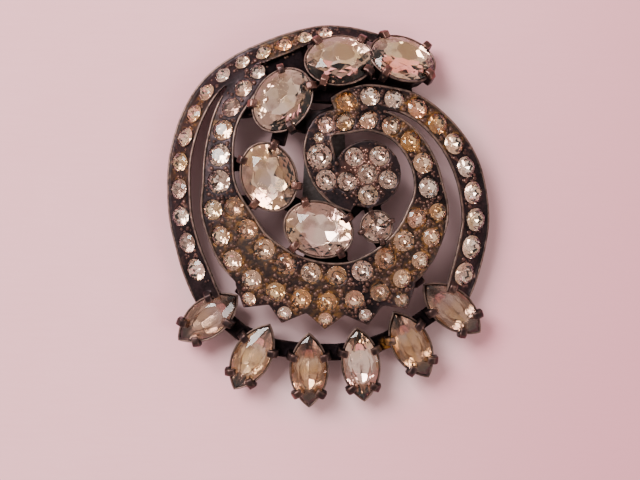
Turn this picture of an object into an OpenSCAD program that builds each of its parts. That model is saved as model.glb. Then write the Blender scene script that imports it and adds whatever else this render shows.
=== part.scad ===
// Dress clip: a domed cast swirl set with round, oval and navette stones.
// Millimetres. The tongue of the clip lies flat on z = 0, the stones face +Z,
// +X is to the right and +Y to the top of the clip as it is worn.

/* [Clip] */
// Width over the outer bands
clip_w = 48.6; // [44:0.1:56]
// Height from the top band to the lowest navette
clip_h = 57.8; // [53:0.1:66]
// Height of the dome's crown above the table
dome_top = 8.8; // [8.6:0.1:11]
// Fall of the dome from its crown to its rim
dome_fall = 6.3; // [4:0.1:6.6]

/* [Bands] */
// Thickness of the cast bands
band_t = 1.4; // [1:0.05:1.8]
// Metal left on each side of a stone
band_side = 0.95; // [0.7:0.05:1.3]
// Width of the raised edge along a band
edge_w = 0.4; // [0.25:0.05:0.6]
// Height of the raised edge
edge_h = 0.22; // [0.1:0.02:0.4]
// Depth at which the straps lie below the bands
strap_drop = 1; // [0.6:0.1:1.4]
// Thickness of the straps
strap_t = 1.5; // [1:0.1:2]
// Length of the crescent's points beyond its edge
point_l = 2.4; // [2:0.1:3.5]
// Height of the bar behind the navettes
bar_t = 1.9; // [1.4:0.1:2.4]
// Radius of the round button's rim beyond its stones
button_rim = 0.4; // [0.3:0.05:0.6]

/* [Small stones] */
// Diameter of a full small stone
chaton_d = 3.1; // [2.7:0.05:3.4]
// Metal between two small stones of a row
chaton_gap = 0.66; // [0.4:0.02:1]
// Clearance between a stone and its seat
seat_gap = 0.06; // [0.03:0.01:0.12]
// Metal between two stones set close together
close_gap = 0.24; // [0.2:0.02:0.5]

/* [Large stones] */
// Length of an oval stone
oval_l = 9.9; // [9:0.1:11]
// Width of an oval stone
oval_w = 7.8; // [7:0.1:8.6]
// Length of a navette stone
navette_l = 10.6; // [9.5:0.1:11.5]
// Width of a navette stone
navette_w = 5.3; // [4.6:0.1:5.8]
// Diameter of the single round stone
round_d = 4.3; // [3.8:0.1:4.6]
// Wall of a collet at its mouth
collet_wall = 0.32; // [0.25:0.01:0.5]
// Depth of a collet
collet_h = 2.9; // [2.4:0.1:3.2]
// Width of a claw
claw_w = 1.15; // [0.8:0.05:1.4]
// Thickness of a claw
claw_t = 0.62; // [0.4:0.02:0.8]
// Reach of a claw over its stone
claw_reach = 0.62; // [0.4:0.02:0.9]
// Height at which a claw closes over its stone's edge
claw_rise = 0.62; // [0.55:0.02:0.9]
// Length of a claw below its stone's edge
claw_root = 1.3; // [0.9:0.1:2]
// Claws of the round stone as a share of the others
round_claw = 0.6; // [0.5:0.05:0.8]
// Height of the ovals' girdles over the bands
oval_rise = 0.5; // [0.3:0.1:0.9]
// Height of the navettes' girdles above the table
navette_lift = 4.5; // [4.3:0.1:5.5]
// Lean of the navettes, outer tip down
navette_lean = 11; // [0:1:14]

/* [Clip back] */
// Length of the tongue
tongue_l = 22.5; // [18:0.5:24]
// Width of the tongue at its knuckle
tongue_w = 5.8; // [5:0.1:6.4]
// Width of the tongue near its free end
tongue_end_w = 7.4; // [6.5:0.1:9]
// Thickness of the tongue
tongue_t = 0.9; // [0.7:0.05:1.4]
// Diameter of the knuckle
knuckle_d = 2.6; // [2.2:0.1:3.2]
// Thickness of the post between the knuckle and the frame
post_t = 1.6; // [1.2:0.1:2.2]
// Clearance between the post and the frame
post_gap = 0.1; // [0.05:0.01:0.2]
// Thickness of the pad under the frame that the post meets
pad_t = 1.6; // [1.2:0.1:2.2]

/* [Hidden] */

METAL = [0.25, 0.21, 0.23];
CLEAR = [0.86, 0.82, 0.8];
AMBER = [0.85, 0.66, 0.38];
STEEL = [0.42, 0.38, 0.37];

// The dome: its centre and its radii as shares of the clip's width and height
DOME_CENTRE_Y = 0.045 * clip_h;
DOME_SIDE = 0.515 * clip_w;
DOME_UP = 0.467 * clip_h;
DOME_DOWN = 0.502 * clip_h;
DOME_POWER = 4.5;
// Width of a band that carries one row of full stones
band_w = chaton_d + 2 * band_side;

// Bands: place as shares of the clip's width and height, and width as a share of band_w
// columns: x, y, width
OUTER_BAND = [
    [-0.372, -0.218, 0.98],
    [-0.412, -0.136, 1.00],
    [-0.436, -0.077, 0.93],
    [-0.458, -0.004, 0.92],
    [-0.465, 0.071, 0.93],
    [-0.463, 0.142, 0.93],
    [-0.448, 0.206, 0.93],
    [-0.424, 0.264, 0.94],
    [-0.387, 0.321, 0.92],
    [-0.340, 0.366, 0.86],
    [-0.275, 0.404, 0.79],
    [-0.204, 0.430, 0.80],
    [-0.133, 0.453, 0.78],
    [-0.071, 0.472, 0.66],
    [-0.012, 0.483, 0.58],
    [0.056, 0.484, 0.46],
    [0.117, 0.476, 0.38],
    [0.176, 0.461, 0.36]
];
SWIRL_BAND = [
    [-0.214, 0.385, 0.84],
    [-0.265, 0.336, 1.00],
    [-0.309, 0.274, 0.90],
    [-0.330, 0.217, 0.88],
    [-0.339, 0.155, 0.96],
    [-0.339, 0.092, 1.04],
    [-0.327, 0.027, 1.40],
    [-0.296, -0.033, 1.60],
    [-0.256, -0.090, 1.70],
    [-0.191, -0.136, 1.72],
    [-0.111, -0.166, 1.62],
    [-0.012, -0.182, 1.54],
    [0.080, -0.177, 1.52],
    [0.164, -0.149, 1.55],
    [0.235, -0.103, 1.52],
    [0.281, -0.045, 1.40],
    [0.306, 0.017, 1.26],
    [0.307, 0.077, 0.92],
    [0.290, 0.139, 0.80],
    [0.247, 0.199, 0.74],
    [0.189, 0.237, 0.72],
    [0.117, 0.253, 0.72],
    [0.049, 0.247, 0.75],
    [-0.009, 0.239, 0.76],
    [-0.032, 0.205, 0.78],
    [-0.030, 0.158, 0.94],
    [-0.009, 0.095, 0.80],
    [0.028, 0.050, 0.55],
    [0.077, 0.030, 0.45]
];
RIGHT_BAND = [
    [0.012, 0.287, 0.50],
    [0.052, 0.298, 0.72],
    [0.114, 0.313, 0.72],
    [0.185, 0.308, 0.72],
    [0.253, 0.292, 0.78],
    [0.318, 0.256, 0.82],
    [0.380, 0.199, 0.92],
    [0.423, 0.134, 1.02],
    [0.446, 0.064, 1.04],
    [0.454, -0.009, 1.06],
    [0.441, -0.079, 1.08],
    [0.420, -0.147, 1.08],
    [0.398, -0.205, 1.00]
];
// Sections of a band for each row of its table, more where it turns by more than SHARP_TURN
BAND_STEPS = 2;
SHARP_STEPS = 3;
SHARP_TURN = 25;

// On a slope a band is thicker upright, by no more than this
STEEP_MOST = 1.2;
// Cross-section of a band. columns: side, inset from that side, height over the dome
BAND_PROFILE = [
    [-1, 0, -band_t],
    [-1, 0, 0],
    [0, 0, 0],
    [1, edge_w, 0],
    [1, edge_w, edge_h],
    [1, 0, edge_h],
    [1, 0, -band_t]
];

// Rows of small stones. columns: band, first and last place on it, first and last diameter
// as shares of chaton_d, the side of the band that the row follows, gap as a share of chaton_gap
OUTER_ROW = [OUTER_BAND, 1, 14, 1.1, 0.72, 0, 1.4];
LEFT_ROW = [SWIRL_BAND, 0.2, 5, 0.84, 1.14, 0, 0.9];
PAVE_INNER_ROW = [SWIRL_BAND, 6.15, 15.55, 1.02, 1, 1, 1.35];
PAVE_OUTER_ROW = [SWIRL_BAND, 6.0, 16, 0.98, 0.88, -1, 1.7];
RING_ROW = [SWIRL_BAND, 17, 22, 1.02, 0.92, 0, 1];
RIGHT_ROW = [RIGHT_BAND, 1.05, 11, 0.94, 1.16, 0, 1];
ROW_SAMPLES = 60;
// Metal between a stone and the edge that its row follows, as a share of band_side
ROW_INSET = 0.4;

// Stones down the spiral after the ring row, as shares of chaton_d
SPIRAL_SIZES = [0.8, 0.5, 1.2, 0.97];
// Points of the crescent: place of the first on the swirl, step, their count and their stone
FIRST_POINT = 9;
POINT_STEP = 1.03;
POINT_COUNT = 5;
point_d = 0.68 * chaton_d;
point_w = 1.9 * chaton_d;
// How far a point's stone sits beyond the crescent's edge
point_out = 0.4 * point_d;

// The round button: place, and its ring of stones round one
BUTTON = [0.117, 0.112];
PETAL_COUNT = 5;
PETAL_TURN = -16;
petal_d = 0.95 * chaton_d;
petal_ring = petal_d + close_gap;
button_r = petal_ring + petal_d / 2 + button_rim;

// Large stones. columns: x, y and the turn of the long side
OVALS = [
    [0.225, 0.410, -6],
    [0.032, 0.404, 6],
    [-0.142, 0.301, 55],
    [-0.184, 0.104, 110],
    [-0.032, -0.031, -17]
];
OVAL_CLAWS = [44, -36, 127, -122];
NAVETTES = [
    [-0.375, -0.261, 216.7],
    [-0.239, -0.363, 241],
    [-0.062, -0.398, 270],
    [0.099, -0.383, 276],
    [0.255, -0.331, 298],
    [0.382, -0.237, 320]
];
NAVETTE_CLAWS = [-0.34, 0.6];
ROUND = [0.145, -0.024];
ROUND_CLAWS = [20, 110, 200, 290];

// Straps between the pieces. columns: x and y of both ends, width as a share of band_w
STRAPS = [
    [-0.210, 0.375, -0.060, 0.440, 1.00],
    [-0.150, 0.385, -0.075, 0.400, 1.40],
    [-0.050, 0.330, 0.030, 0.325, 0.60],
    [0.030, 0.325, 0.120, 0.340, 0.60],
    [0.120, 0.340, 0.220, 0.335, 0.60],
    [0.060, 0.300, 0.260, 0.325, 0.40],
    [0.010, 0.290, 0.030, 0.245, 0.70],
    [-0.100, 0.250, -0.020, 0.235, 0.60],
    [-0.300, 0.285, -0.200, 0.290, 0.45],
    [-0.145, 0.245, -0.160, 0.190, 0.45],
    [-0.300, 0.140, -0.240, 0.135, 0.40],
    [-0.290, 0.030, -0.215, 0.050, 0.45],
    [-0.130, 0.040, -0.080, 0.020, 0.50],
    [0.055, 0.010, 0.085, 0.035, 0.50],
    [-0.075, -0.105, 0.055, -0.115, 0.60],
    [0.130, 0.040, 0.140, 0.000, 0.50],
    [0.155, -0.045, 0.195, -0.095, 0.55],
    [0.040, 0.480, 0.035, 0.440, 0.50],
    [0.160, 0.465, 0.190, 0.430, 0.60],
    [0.100, 0.405, 0.160, 0.405, 0.60],
    [0.230, 0.350, 0.240, 0.310, 0.60],
    [-0.285, -0.205, -0.262, -0.180, 0.35],
    [0.290, -0.178, 0.265, -0.150, 0.35]
];

// Bar behind the navettes. columns: x, y
BAR = [
    [-0.365, -0.235],
    [-0.275, -0.300],
    [-0.170, -0.339],
    [-0.062, -0.352],
    [0.022, -0.352],
    [0.102, -0.344],
    [0.179, -0.321],
    [0.265, -0.282],
    [0.372, -0.220]
];
BAR_DROP = 0.9;
bar_w = 0.5 * band_w;

// The tongue's middle line and its knuckle
CLIP_X = -0.012 * clip_w;
CLIP_Y = 0.25 * clip_h;
// Where the tongue is widest, as a share of its length
TONGUE_WAIST = 0.75;

// Collets: number of sides, and their foot and hollow's foot as shares of their mouths
OVAL_SIDES = 16;
NAVETTE_SIDES = 12;
ROUND_SIDES = 10;
COLLET_FOOT = 0.86;
HOLLOW_FOOT = 0.66;
// A navette's rim grows more at its tips than at its sides
TIP_GROWTH = 1.5;

// Cut of the stones. Small ones: sides, table and heights as shares of the diameter
CHATON_SIDES = 8;
CHATON_TABLE = 0.58;
CHATON_CROWN = 0.16;
PAVILION_SHARE = 0.36;
// Large ones: table and star ring as shares of the outline, and the ring's share of the crown
TABLE_SHARE = 0.56;
STAR_SHARE = 0.8;
STAR_HEIGHT = 0.66;
girdle_t = 0.12;
// columns: crown height, pavilion depth and half length of the keel
OVAL_CUT = [0.121 * oval_l, 0.9 * collet_h, 0.1 * oval_l];
NAVETTE_CUT = [0.094 * navette_l, 0.83 * collet_h, 0.15 * navette_l];
// How far a cutting solid stands beyond what it cuts
OVERCUT = 0.5;

function at(p) = [p[0] * clip_w, p[1] * clip_h];
function unit(v) = v / norm(v);
function mix(a, b, u) = a + (b - a) * u;

// Distance from the dome's centre, 1 at its rim
function reach(p) = norm([
    p[0] / DOME_SIDE,
    (p[1] - DOME_CENTRE_Y) / (p[1] > DOME_CENTRE_Y ? DOME_UP : DOME_DOWN)
]);
function dome_z(p) = dome_top - dome_fall * pow(min(reach(p), 1.03), DOME_POWER);
function slope(p, e = 0.05) = [
    (dome_z(p + [e, 0]) - dome_z(p - [e, 0])) / (2 * e),
    (dome_z(p + [0, e]) - dome_z(p - [0, e])) / (2 * e)
];

// A smooth curve through the rows of a table
function row_at(t, i) = t[max(0, min(len(t) - 1, i))];
function curve(t, s) =
    let (
        i = max(0, min(floor(s), len(t) - 2)), u = s - i,
        a = row_at(t, i - 1), b = t[i], c = t[i + 1], d = row_at(t, i + 2)
    )
    0.5 * (2 * b + (c - a) * u + (2 * a - 5 * b + 4 * c - d) * u * u
        + (3 * b - a - 3 * c + d) * u * u * u);

// Middle, sideways direction and true half width of a band at a place along it
function band_mid(t, s) = at(curve(t, s));
function band_side_way(t, s) =
    let (d = unit(band_mid(t, s + 0.02) - band_mid(t, s - 0.02))) [-d[1], d[0]];
function foreshortening(p, way) = 1 / norm([1, slope(p) * way]);
function band_half(t, s) = curve(t, s)[2] * band_w / 2;

// A place across a band: side -1 or 1, or 0 for its middle, and the inset from that side
function across(t, s, side, inset) =
    let (m = band_mid(t, s), way = band_side_way(t, s))
    m + way * side * (band_half(t, s) - inset) * foreshortening(m, way);

function band_section(t, s) = [
    for (row = BAND_PROFILE)
        let (p = across(t, s, row[0], row[1]), steep = min(STEEP_MOST, norm([1, norm(slope(p))])))
        [p[0], p[1], dome_z(p) + row[2] * (row[2] < 0 ? steep : 1)]
];
function turn_at(t, i) =
    let (a = unit(band_mid(t, i) - band_mid(t, i - 1)), b = unit(band_mid(t, i + 1) - band_mid(t, i)))
    acos(min(1, a * b));
function sharp(t, i) =
    max(i > 0 ? turn_at(t, i) : 0, i < len(t) - 2 ? turn_at(t, i + 1) : 0) > SHARP_TURN;
function band_places(t) = concat(
    [for (i = [0 : len(t) - 2])
        let (n = sharp(t, i) ? SHARP_STEPS : BAND_STEPS) for (k = [0 : n - 1]) i + k / n],
    [len(t) - 1]
);

// Places of the stones of a row, each as [x, y, diameter, turn of the row]
function row_line(row, s) =
    let (d = chaton_d * mix(row[3], row[4], (s - row[1]) / (row[2] - row[1])))
    row[5] == 0 ? band_mid(row[0], s) : across(row[0], s, row[5], band_side * ROW_INSET + d / 2);
function running_lengths(pts) = [
    for (k = 0, sum = 0; k < len(pts);
        sum = sum + (k < len(pts) - 1 ? norm(pts[k + 1] - pts[k]) : 0), k = k + 1) sum
];
function row_stones(row) =
    let (
        marks = [for (k = [0 : ROW_SAMPLES]) mix(row[1], row[2], k / ROW_SAMPLES)],
        sums = running_lengths([for (s = marks) row_line(row, s)]),
        total = sums[ROW_SAMPLES],
        d0 = row[3] * chaton_d, d1 = row[4] * chaton_d,
        gap = row[6] * chaton_gap, p0 = d0 + gap, p1 = d1 + gap,
        n = max(1, round(2 * total / (p0 + p1)))
    )
    [
        for (k = [0 : n])
            let (
                u = k / n,
                run = total * (2 * p0 * u + (p1 - p0) * u * u) / (p0 + p1),
                s = lookup(run, [for (j = [0 : ROW_SAMPLES]) [sums[j], marks[j]]]),
                p = row_line(row, s),
                way = band_side_way(row[0], s)
            )
            [p[0], p[1], mix(d0, d1, u), atan2(way[1], way[0])]
    ];

// The stones that follow the ring row down the spiral, each a close gap after the last
function spiral_stones() =
    let (
        first = RING_ROW[2],
        last = len(SWIRL_BAND) - 1,
        marks = [for (k = [0 : ROW_SAMPLES]) mix(first, last, k / ROW_SAMPLES)],
        sums = running_lengths([for (s = marks) band_mid(SWIRL_BAND, s)]),
        sizes = concat([RING_ROW[4]], SPIRAL_SIZES) * chaton_d,
        runs = running_lengths([for (k = 0, x = 0; k < len(sizes);
            k = k + 1, x = x + (k < len(sizes) ? (sizes[k - 1] + sizes[k]) / 2 + close_gap : 0)) [x, 0]])
    )
    [
        for (k = [1 : len(sizes) - 1])
            let (
                s = lookup(runs[k], [for (j = [0 : ROW_SAMPLES]) [sums[j], marks[j]]]),
                p = band_mid(SWIRL_BAND, s),
                way = band_side_way(SWIRL_BAND, s)
            )
            [p[0], p[1], sizes[k], atan2(way[1], way[0])]
    ];

function point_place(k, out) = across(SWIRL_BAND, FIRST_POINT + k * POINT_STEP, -1, -out);
function point_stones() = [
    for (k = [0 : POINT_COUNT - 1])
        let (p = point_place(k, point_out)) [p[0], p[1], point_d, 0]
];
function petals() =
    let (c = at(BUTTON))
    concat([[c[0], c[1], petal_d, 0]], [
        for (k = [0 : PETAL_COUNT - 1])
            let (a = PETAL_TURN + k * 360 / PETAL_COUNT)
            [c[0] + petal_ring * cos(a), c[1] + petal_ring * sin(a), petal_d, a]
    ]);

// Outlines of the large stones, as a point and as its outward direction
function oval_outline(l, w, n) = [
    for (k = [0 : n - 1]) let (a = 360 * k / n) [l / 2 * cos(a), w / 2 * sin(a)]
];
function navette_arc(l, w, t) =
    let (r = (l * l + w * w) / (4 * w), a = asin(l / 2 / r) * t)
    [[r * sin(a), r * cos(a) - r + w / 2], [sin(a), cos(a)]];
function navette_outline(l, w, n) = [
    for (k = [0 : n - 1])
        let (
            half = n / 2,
            upper = k < half,
            t = upper ? 1 - 2 * k / half : 2 * (k - half) / half - 1,
            p = navette_arc(l, w, t)[0]
        )
        upper ? p : [p[0], -p[1]]
];

// Lays its children on the dome at a place, facing along the dome's normal
module on_dome(p, turn = 0) {
    g = slope(p);
    uphill = atan2(g[1], g[0]);
    translate([p[0], p[1], dome_z(p)])
        rotate([0, 0, uphill])
        rotate([0, -atan(norm(g)), 0])
        rotate([0, 0, turn - uphill])
        children();
}

// Lays its children at a navette's place, outer tip along +X
module on_fringe(n) {
    p = at(n);
    translate([p[0], p[1], navette_lift])
        rotate([0, 0, n[2]])
        rotate([0, navette_lean, 0])
        children();
}

// A solid through a list of sections with equal numbers of points
module sweep(sections) {
    n = len(sections[0]);
    m = len(sections);
    polyhedron(
        points = [for (s = sections) each s],
        faces = concat(
            [[for (j = [n - 1 : -1 : 0]) j]],
            [for (i = [0 : m - 2]) for (j = [0 : n - 1])
                let (a = i * n + j, b = i * n + (j + 1) % n) each [[a, b + n, a + n], [a, b, b + n]]],
            [[for (j = [0 : n - 1]) (m - 1) * n + j]]
        )
    );
}

module band(t) {
    sweep([for (s = band_places(t)) band_section(t, s)]);
}

// A flat bar between two places, its top this far below the dome
module strap(a, b, w) {
    way = b - a;
    hull()
        for (p = [a, b])
            on_dome(p, atan2(way[1], way[0]))
                translate([0, 0, -strap_drop - strap_t / 2]) cube([0.1, w, strap_t], center = true);
}

module straps() {
    for (s = STRAPS) strap(at(s), at([s[2], s[3]]), s[4] * band_w);
}

// The bar lies at the height of the navettes' collets
module fringe_bar() {
    top = navette_lift - BAR_DROP;
    sweep([
        for (s = [0 : len(BAR) - 1])
            let (m = at(BAR[s]), way = band_side_way(BAR, min(s, len(BAR) - 1.1)) * bar_w / 2)
            [for (c = [[-1, -bar_t], [-1, 0], [1, 0], [1, -bar_t]])
                [m[0] + way[0] * c[0], m[1] + way[1] * c[0], top + c[1]]]
    ]);
}

// A pointed tab beyond the crescent's edge
module crescent_point(k) {
    tip = point_place(k, point_l);
    edge = point_place(k, 0);
    root = point_place(k, -point_d);
    way = unit(tip - root);
    sideways = [-way[1], way[0]] * point_w / 2;
    corners = [tip, edge + sideways, root + sideways, root - sideways, edge - sideways];
    sweep([for (z = [0, -band_t]) [for (p = corners) [p[0], p[1], dome_z(p) + z]]]);
}

module button() {
    on_dome(at(BUTTON)) translate([0, 0, -band_t]) cylinder(h = band_t, r = button_r, $fn = 24);
}

// Solid collet before it is hollowed, and the hollow, both narrower at the foot
module collet_body(mouth) {
    mirror([0, 0, 1]) linear_extrude(collet_h, scale = COLLET_FOOT) polygon(mouth);
}
module collet_hollow(mouth) {
    grow = 1 + OVERCUT / collet_h * (1 - HOLLOW_FOOT);
    translate([0, 0, OVERCUT]) mirror([0, 0, 1])
        linear_extrude(collet_h + 2 * OVERCUT, scale = HOLLOW_FOOT) polygon(mouth * grow);
}

// A claw at a point of an outline, along its outward direction, at a share of its full size
module claw(p, way, share = 1) {
    wall = collet_wall + seat_gap;
    out = wall + claw_t * share;
    top = claw_rise + claw_t * share;
    translate([p[0], p[1], 0])
        rotate([90, 0, atan2(way[1], way[0])])
        translate([0, 0, -claw_w * share / 2])
        linear_extrude(claw_w * share)
        polygon([
            [seat_gap, -claw_root],
            [out, -claw_root],
            [out, claw_rise],
            [wall, top],
            [-claw_reach * share, mix(claw_rise, top, 0.8)],
            [-claw_reach * share, claw_rise],
            [seat_gap, claw_rise / 3]
        ]);
}

module oval_claws() {
    for (a = OVAL_CLAWS)
        claw([oval_l / 2 * cos(a), oval_w / 2 * sin(a)], unit([cos(a) / oval_l, sin(a) / oval_w]));
}
module navette_claws() {
    for (t = NAVETTE_CLAWS) {
        c = navette_arc(navette_l, navette_w, t);
        claw(c[0], c[1]);
        claw([c[0][0], -c[0][1]], [c[1][0], -c[1][1]]);
    }
}
module round_claws() {
    for (a = ROUND_CLAWS) claw(round_d / 2 * [cos(a), sin(a)], [cos(a), sin(a)], round_claw);
}

module on_oval(k) {
    on_dome(at(OVALS[k]), OVALS[k][2]) translate([0, 0, oval_rise]) children();
}
module on_round() {
    on_dome(at(ROUND)) translate([0, 0, oval_rise / 2]) children();
}

mouth_growth = 2 * seat_gap;
rim_growth = 2 * (seat_gap + collet_wall);
oval_rim = oval_outline(oval_l + rim_growth, oval_w + rim_growth, OVAL_SIDES);
oval_mouth = oval_outline(oval_l + mouth_growth, oval_w + mouth_growth, OVAL_SIDES);
round_rim = oval_outline(round_d + rim_growth, round_d + rim_growth, ROUND_SIDES);
round_mouth = oval_outline(round_d + mouth_growth, round_d + mouth_growth, ROUND_SIDES);
function grown_navette(growth) =
    navette_outline(navette_l + growth * TIP_GROWTH, navette_w + growth, NAVETTE_SIDES);
navette_rim = grown_navette(rim_growth);
navette_mouth = grown_navette(mouth_growth);

// Seat of a small stone, a cone cut into the metal
module seat(s) {
    depth = PAVILION_SHARE * s[2] + seat_gap;
    mouth = (s[2] / 2 + seat_gap) * (1 + OVERCUT / depth);
    on_dome(s, s[3])
        translate([0, 0, -depth])
        cylinder(h = depth + OVERCUT, r1 = 0, r2 = mouth, $fn = CHATON_SIDES);
}

outer_row = row_stones(OUTER_ROW);
left_row = row_stones(LEFT_ROW);
pave_inner = row_stones(PAVE_INNER_ROW);
pave_outer = row_stones(PAVE_OUTER_ROW);
pave_all = concat(pave_inner, pave_outer, point_stones());
ring_row = concat(row_stones(RING_ROW), spiral_stones());
right_row = row_stones(RIGHT_ROW);
rosette = petals();

// Pad under the frame that the post of the clip meets
pad_z = dome_z([CLIP_X, CLIP_Y]) - band_t - strap_drop;
module clip_pad() {
    translate([CLIP_X - tongue_w / 2, CLIP_Y - post_t, pad_z]) cube([tongue_w, 2 * post_t, pad_t]);
}

module frame() {
    color(METAL) {
        difference() {
            union() {
                band(OUTER_BAND);
                band(SWIRL_BAND);
                band(RIGHT_BAND);
                straps();
                fringe_bar();
                button();
                clip_pad();
                for (k = [0 : POINT_COUNT - 1]) crescent_point(k);
                for (k = [0 : len(OVALS) - 1]) on_oval(k) collet_body(oval_rim);
                for (n = NAVETTES) on_fringe(n) collet_body(navette_rim);
                on_round() collet_body(round_rim);
            }
            for (k = [0 : len(OVALS) - 1]) on_oval(k) collet_hollow(oval_mouth);
            for (n = NAVETTES) on_fringe(n) collet_hollow(navette_mouth);
            on_round() collet_hollow(round_mouth);
            for (s = concat(outer_row, left_row, pave_all, ring_row, right_row, rosette)) seat(s);
        }
        for (k = [0 : len(OVALS) - 1]) on_oval(k) oval_claws();
        for (n = NAVETTES) on_fringe(n) navette_claws();
        on_round() round_claws();
    }
}

module clip_back() {
    color(STEEL) {
        // flat tongue, wider towards its rounded free end
        translate([CLIP_X, CLIP_Y, 0]) linear_extrude(tongue_t) polygon([
            [-tongue_w / 2, 0],
            [-tongue_end_w / 2, -tongue_l * TONGUE_WAIST],
            [-tongue_end_w / 4, -tongue_l],
            [tongue_end_w / 4, -tongue_l],
            [tongue_end_w / 2, -tongue_l * TONGUE_WAIST],
            [tongue_w / 2, 0]
        ]);
        // knuckle across the tongue
        translate([CLIP_X - tongue_w / 2, CLIP_Y, knuckle_d / 2])
            rotate([0, 90, 0])
            cylinder(h = tongue_w, d = knuckle_d, $fn = 48);
        // post up to the frame
        translate([CLIP_X - tongue_w / 2, CLIP_Y - post_t / 2, knuckle_d / 2])
            cube([tongue_w, post_t, pad_z - post_gap - knuckle_d / 2]);
    }
}

// Round stone with a table, eight facets above its girdle and eight below
module chaton(d) {
    n = CHATON_SIDES;
    function ring(share, z) =
        [for (k = [0 : n - 1]) [share * d / 2 * cos(360 * k / n), share * d / 2 * sin(360 * k / n), z]];
    polyhedron(
        concat(ring(CHATON_TABLE, CHATON_CROWN * d), ring(1, 0), [[0, 0, -PAVILION_SHARE * d]]),
        concat(
            [[for (k = [n - 1 : -1 : 0]) k]],
            [for (k = [0 : n - 1]) [k, (k + 1) % n, n + (k + 1) % n, n + k]],
            [for (k = [0 : n - 1]) [n + k, n + (k + 1) % n, 2 * n]]
        )
    );
}
module stones(list) {
    for (s = list) on_dome(s, s[3]) chaton(s[2]);
}

// Brilliant-cut stone on an outline: table, star and kite facets, girdle and pavilion
module brilliant(outline, cut) {
    n = len(outline);
    h = n / 2;
    function ring(share, z, list) = [for (p = list) [p[0] * share, p[1] * share, z]];
    even = [for (k = [0 : h - 1]) outline[2 * k]];
    odd = [for (k = [0 : h - 1]) outline[2 * k + 1]];
    points = concat(
        ring(TABLE_SHARE, cut[0], even),
        ring(STAR_SHARE, cut[0] * STAR_HEIGHT, odd),
        ring(1, girdle_t / 2, outline),
        ring(1, -girdle_t / 2, outline),
        [[cut[2], 0, -cut[1]], [-cut[2], 0, -cut[1]]]
    );
    // first point of the star ring, of the girdle's two rings and of the keel
    star = h;
    upper = 2 * h;
    lower = upper + n;
    right = lower + n;
    left = right + 1;
    polyhedron(points, concat(
        [[for (k = [h - 1 : -1 : 0]) k]],
        [for (k = [0 : h - 1]) [k, (k + 1) % h, star + k]],
        [for (k = [0 : h - 1]) [k, star + k, upper + 2 * k]],
        [for (k = [0 : h - 1]) [(k + 1) % h, upper + (2 * k + 2) % n, star + k]],
        [for (k = [0 : h - 1]) [star + k, upper + 2 * k + 1, upper + 2 * k]],
        [for (k = [0 : h - 1]) [star + k, upper + (2 * k + 2) % n, upper + 2 * k + 1]],
        [for (k = [0 : n - 1]) [upper + k, upper + (k + 1) % n, lower + (k + 1) % n, lower + k]],
        [for (k = [0 : n - 1])
            let (j = (k + 1) % n, middle = (outline[k][0] + outline[j][0]) / 2)
            [lower + k, lower + j, middle > 0 ? right : left]],
        [[lower + n / 4, left, right], [lower + 3 * n / 4, right, left]]
    ));
}
module oval_stone(k) {
    color(CLEAR) on_oval(k) brilliant(oval_outline(oval_l, oval_w, OVAL_SIDES), OVAL_CUT);
}
module navette_stone(k) {
    color(CLEAR) on_fringe(NAVETTES[k])
        brilliant(navette_outline(navette_l, navette_w, NAVETTE_SIDES), NAVETTE_CUT);
}
module round_stone() {
    color(CLEAR) on_round() chaton(round_d);
}

frame();
clip_back();
oval_stone(0);  // oval_stone_1
oval_stone(1);  // oval_stone_2
oval_stone(2);  // oval_stone_3
oval_stone(3);  // oval_stone_4
oval_stone(4);  // oval_stone_5
navette_stone(0);  // navette_stone_1
navette_stone(1);  // navette_stone_2
navette_stone(2);  // navette_stone_3
navette_stone(3);  // navette_stone_4
navette_stone(4);  // navette_stone_5
navette_stone(5);  // navette_stone_6
round_stone();
color(CLEAR) stones(outer_row);  // outer_row_stones
color(CLEAR) stones(left_row);  // left_row_stones
color(AMBER) stones(pave_all);  // pave_stones
color(CLEAR) stones(ring_row);  // ring_row_stones
color(CLEAR) stones(right_row);  // right_row_stones
color(CLEAR) stones(rosette);  // rosette_stones
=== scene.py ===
"""Dress clip: a cast swirl with cut, foil-backed stones, laid face up on a pale cloth.

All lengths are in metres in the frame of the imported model: +Z up, +Y to the top of the clip.
"""
from __future__ import annotations

import logging
import math
import random
from dataclasses import dataclass, field
from enum import Enum

import bpy
import numpy as np
from mathutils import Matrix, Vector
from mathutils.bvhtree import BVHTree

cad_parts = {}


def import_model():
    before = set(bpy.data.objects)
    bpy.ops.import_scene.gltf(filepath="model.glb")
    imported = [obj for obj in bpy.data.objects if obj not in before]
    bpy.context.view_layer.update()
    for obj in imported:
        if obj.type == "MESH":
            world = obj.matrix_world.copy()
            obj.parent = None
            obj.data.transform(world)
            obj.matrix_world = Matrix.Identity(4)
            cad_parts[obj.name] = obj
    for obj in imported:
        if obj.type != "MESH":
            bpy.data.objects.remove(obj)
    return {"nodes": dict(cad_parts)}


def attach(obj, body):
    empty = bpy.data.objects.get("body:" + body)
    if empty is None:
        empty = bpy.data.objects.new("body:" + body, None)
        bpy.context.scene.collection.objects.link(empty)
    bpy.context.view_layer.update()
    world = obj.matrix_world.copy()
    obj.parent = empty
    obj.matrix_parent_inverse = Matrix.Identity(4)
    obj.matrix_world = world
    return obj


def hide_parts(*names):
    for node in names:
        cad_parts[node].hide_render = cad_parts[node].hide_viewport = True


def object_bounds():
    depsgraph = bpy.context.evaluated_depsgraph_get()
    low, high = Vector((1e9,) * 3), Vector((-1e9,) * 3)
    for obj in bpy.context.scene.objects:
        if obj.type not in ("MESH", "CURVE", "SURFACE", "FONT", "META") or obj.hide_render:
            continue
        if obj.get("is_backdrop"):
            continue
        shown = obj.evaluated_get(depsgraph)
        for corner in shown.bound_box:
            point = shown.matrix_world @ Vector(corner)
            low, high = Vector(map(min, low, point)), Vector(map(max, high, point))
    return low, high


LOG = logging.getLogger("dress_clip")
ROOT = "root"
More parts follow.
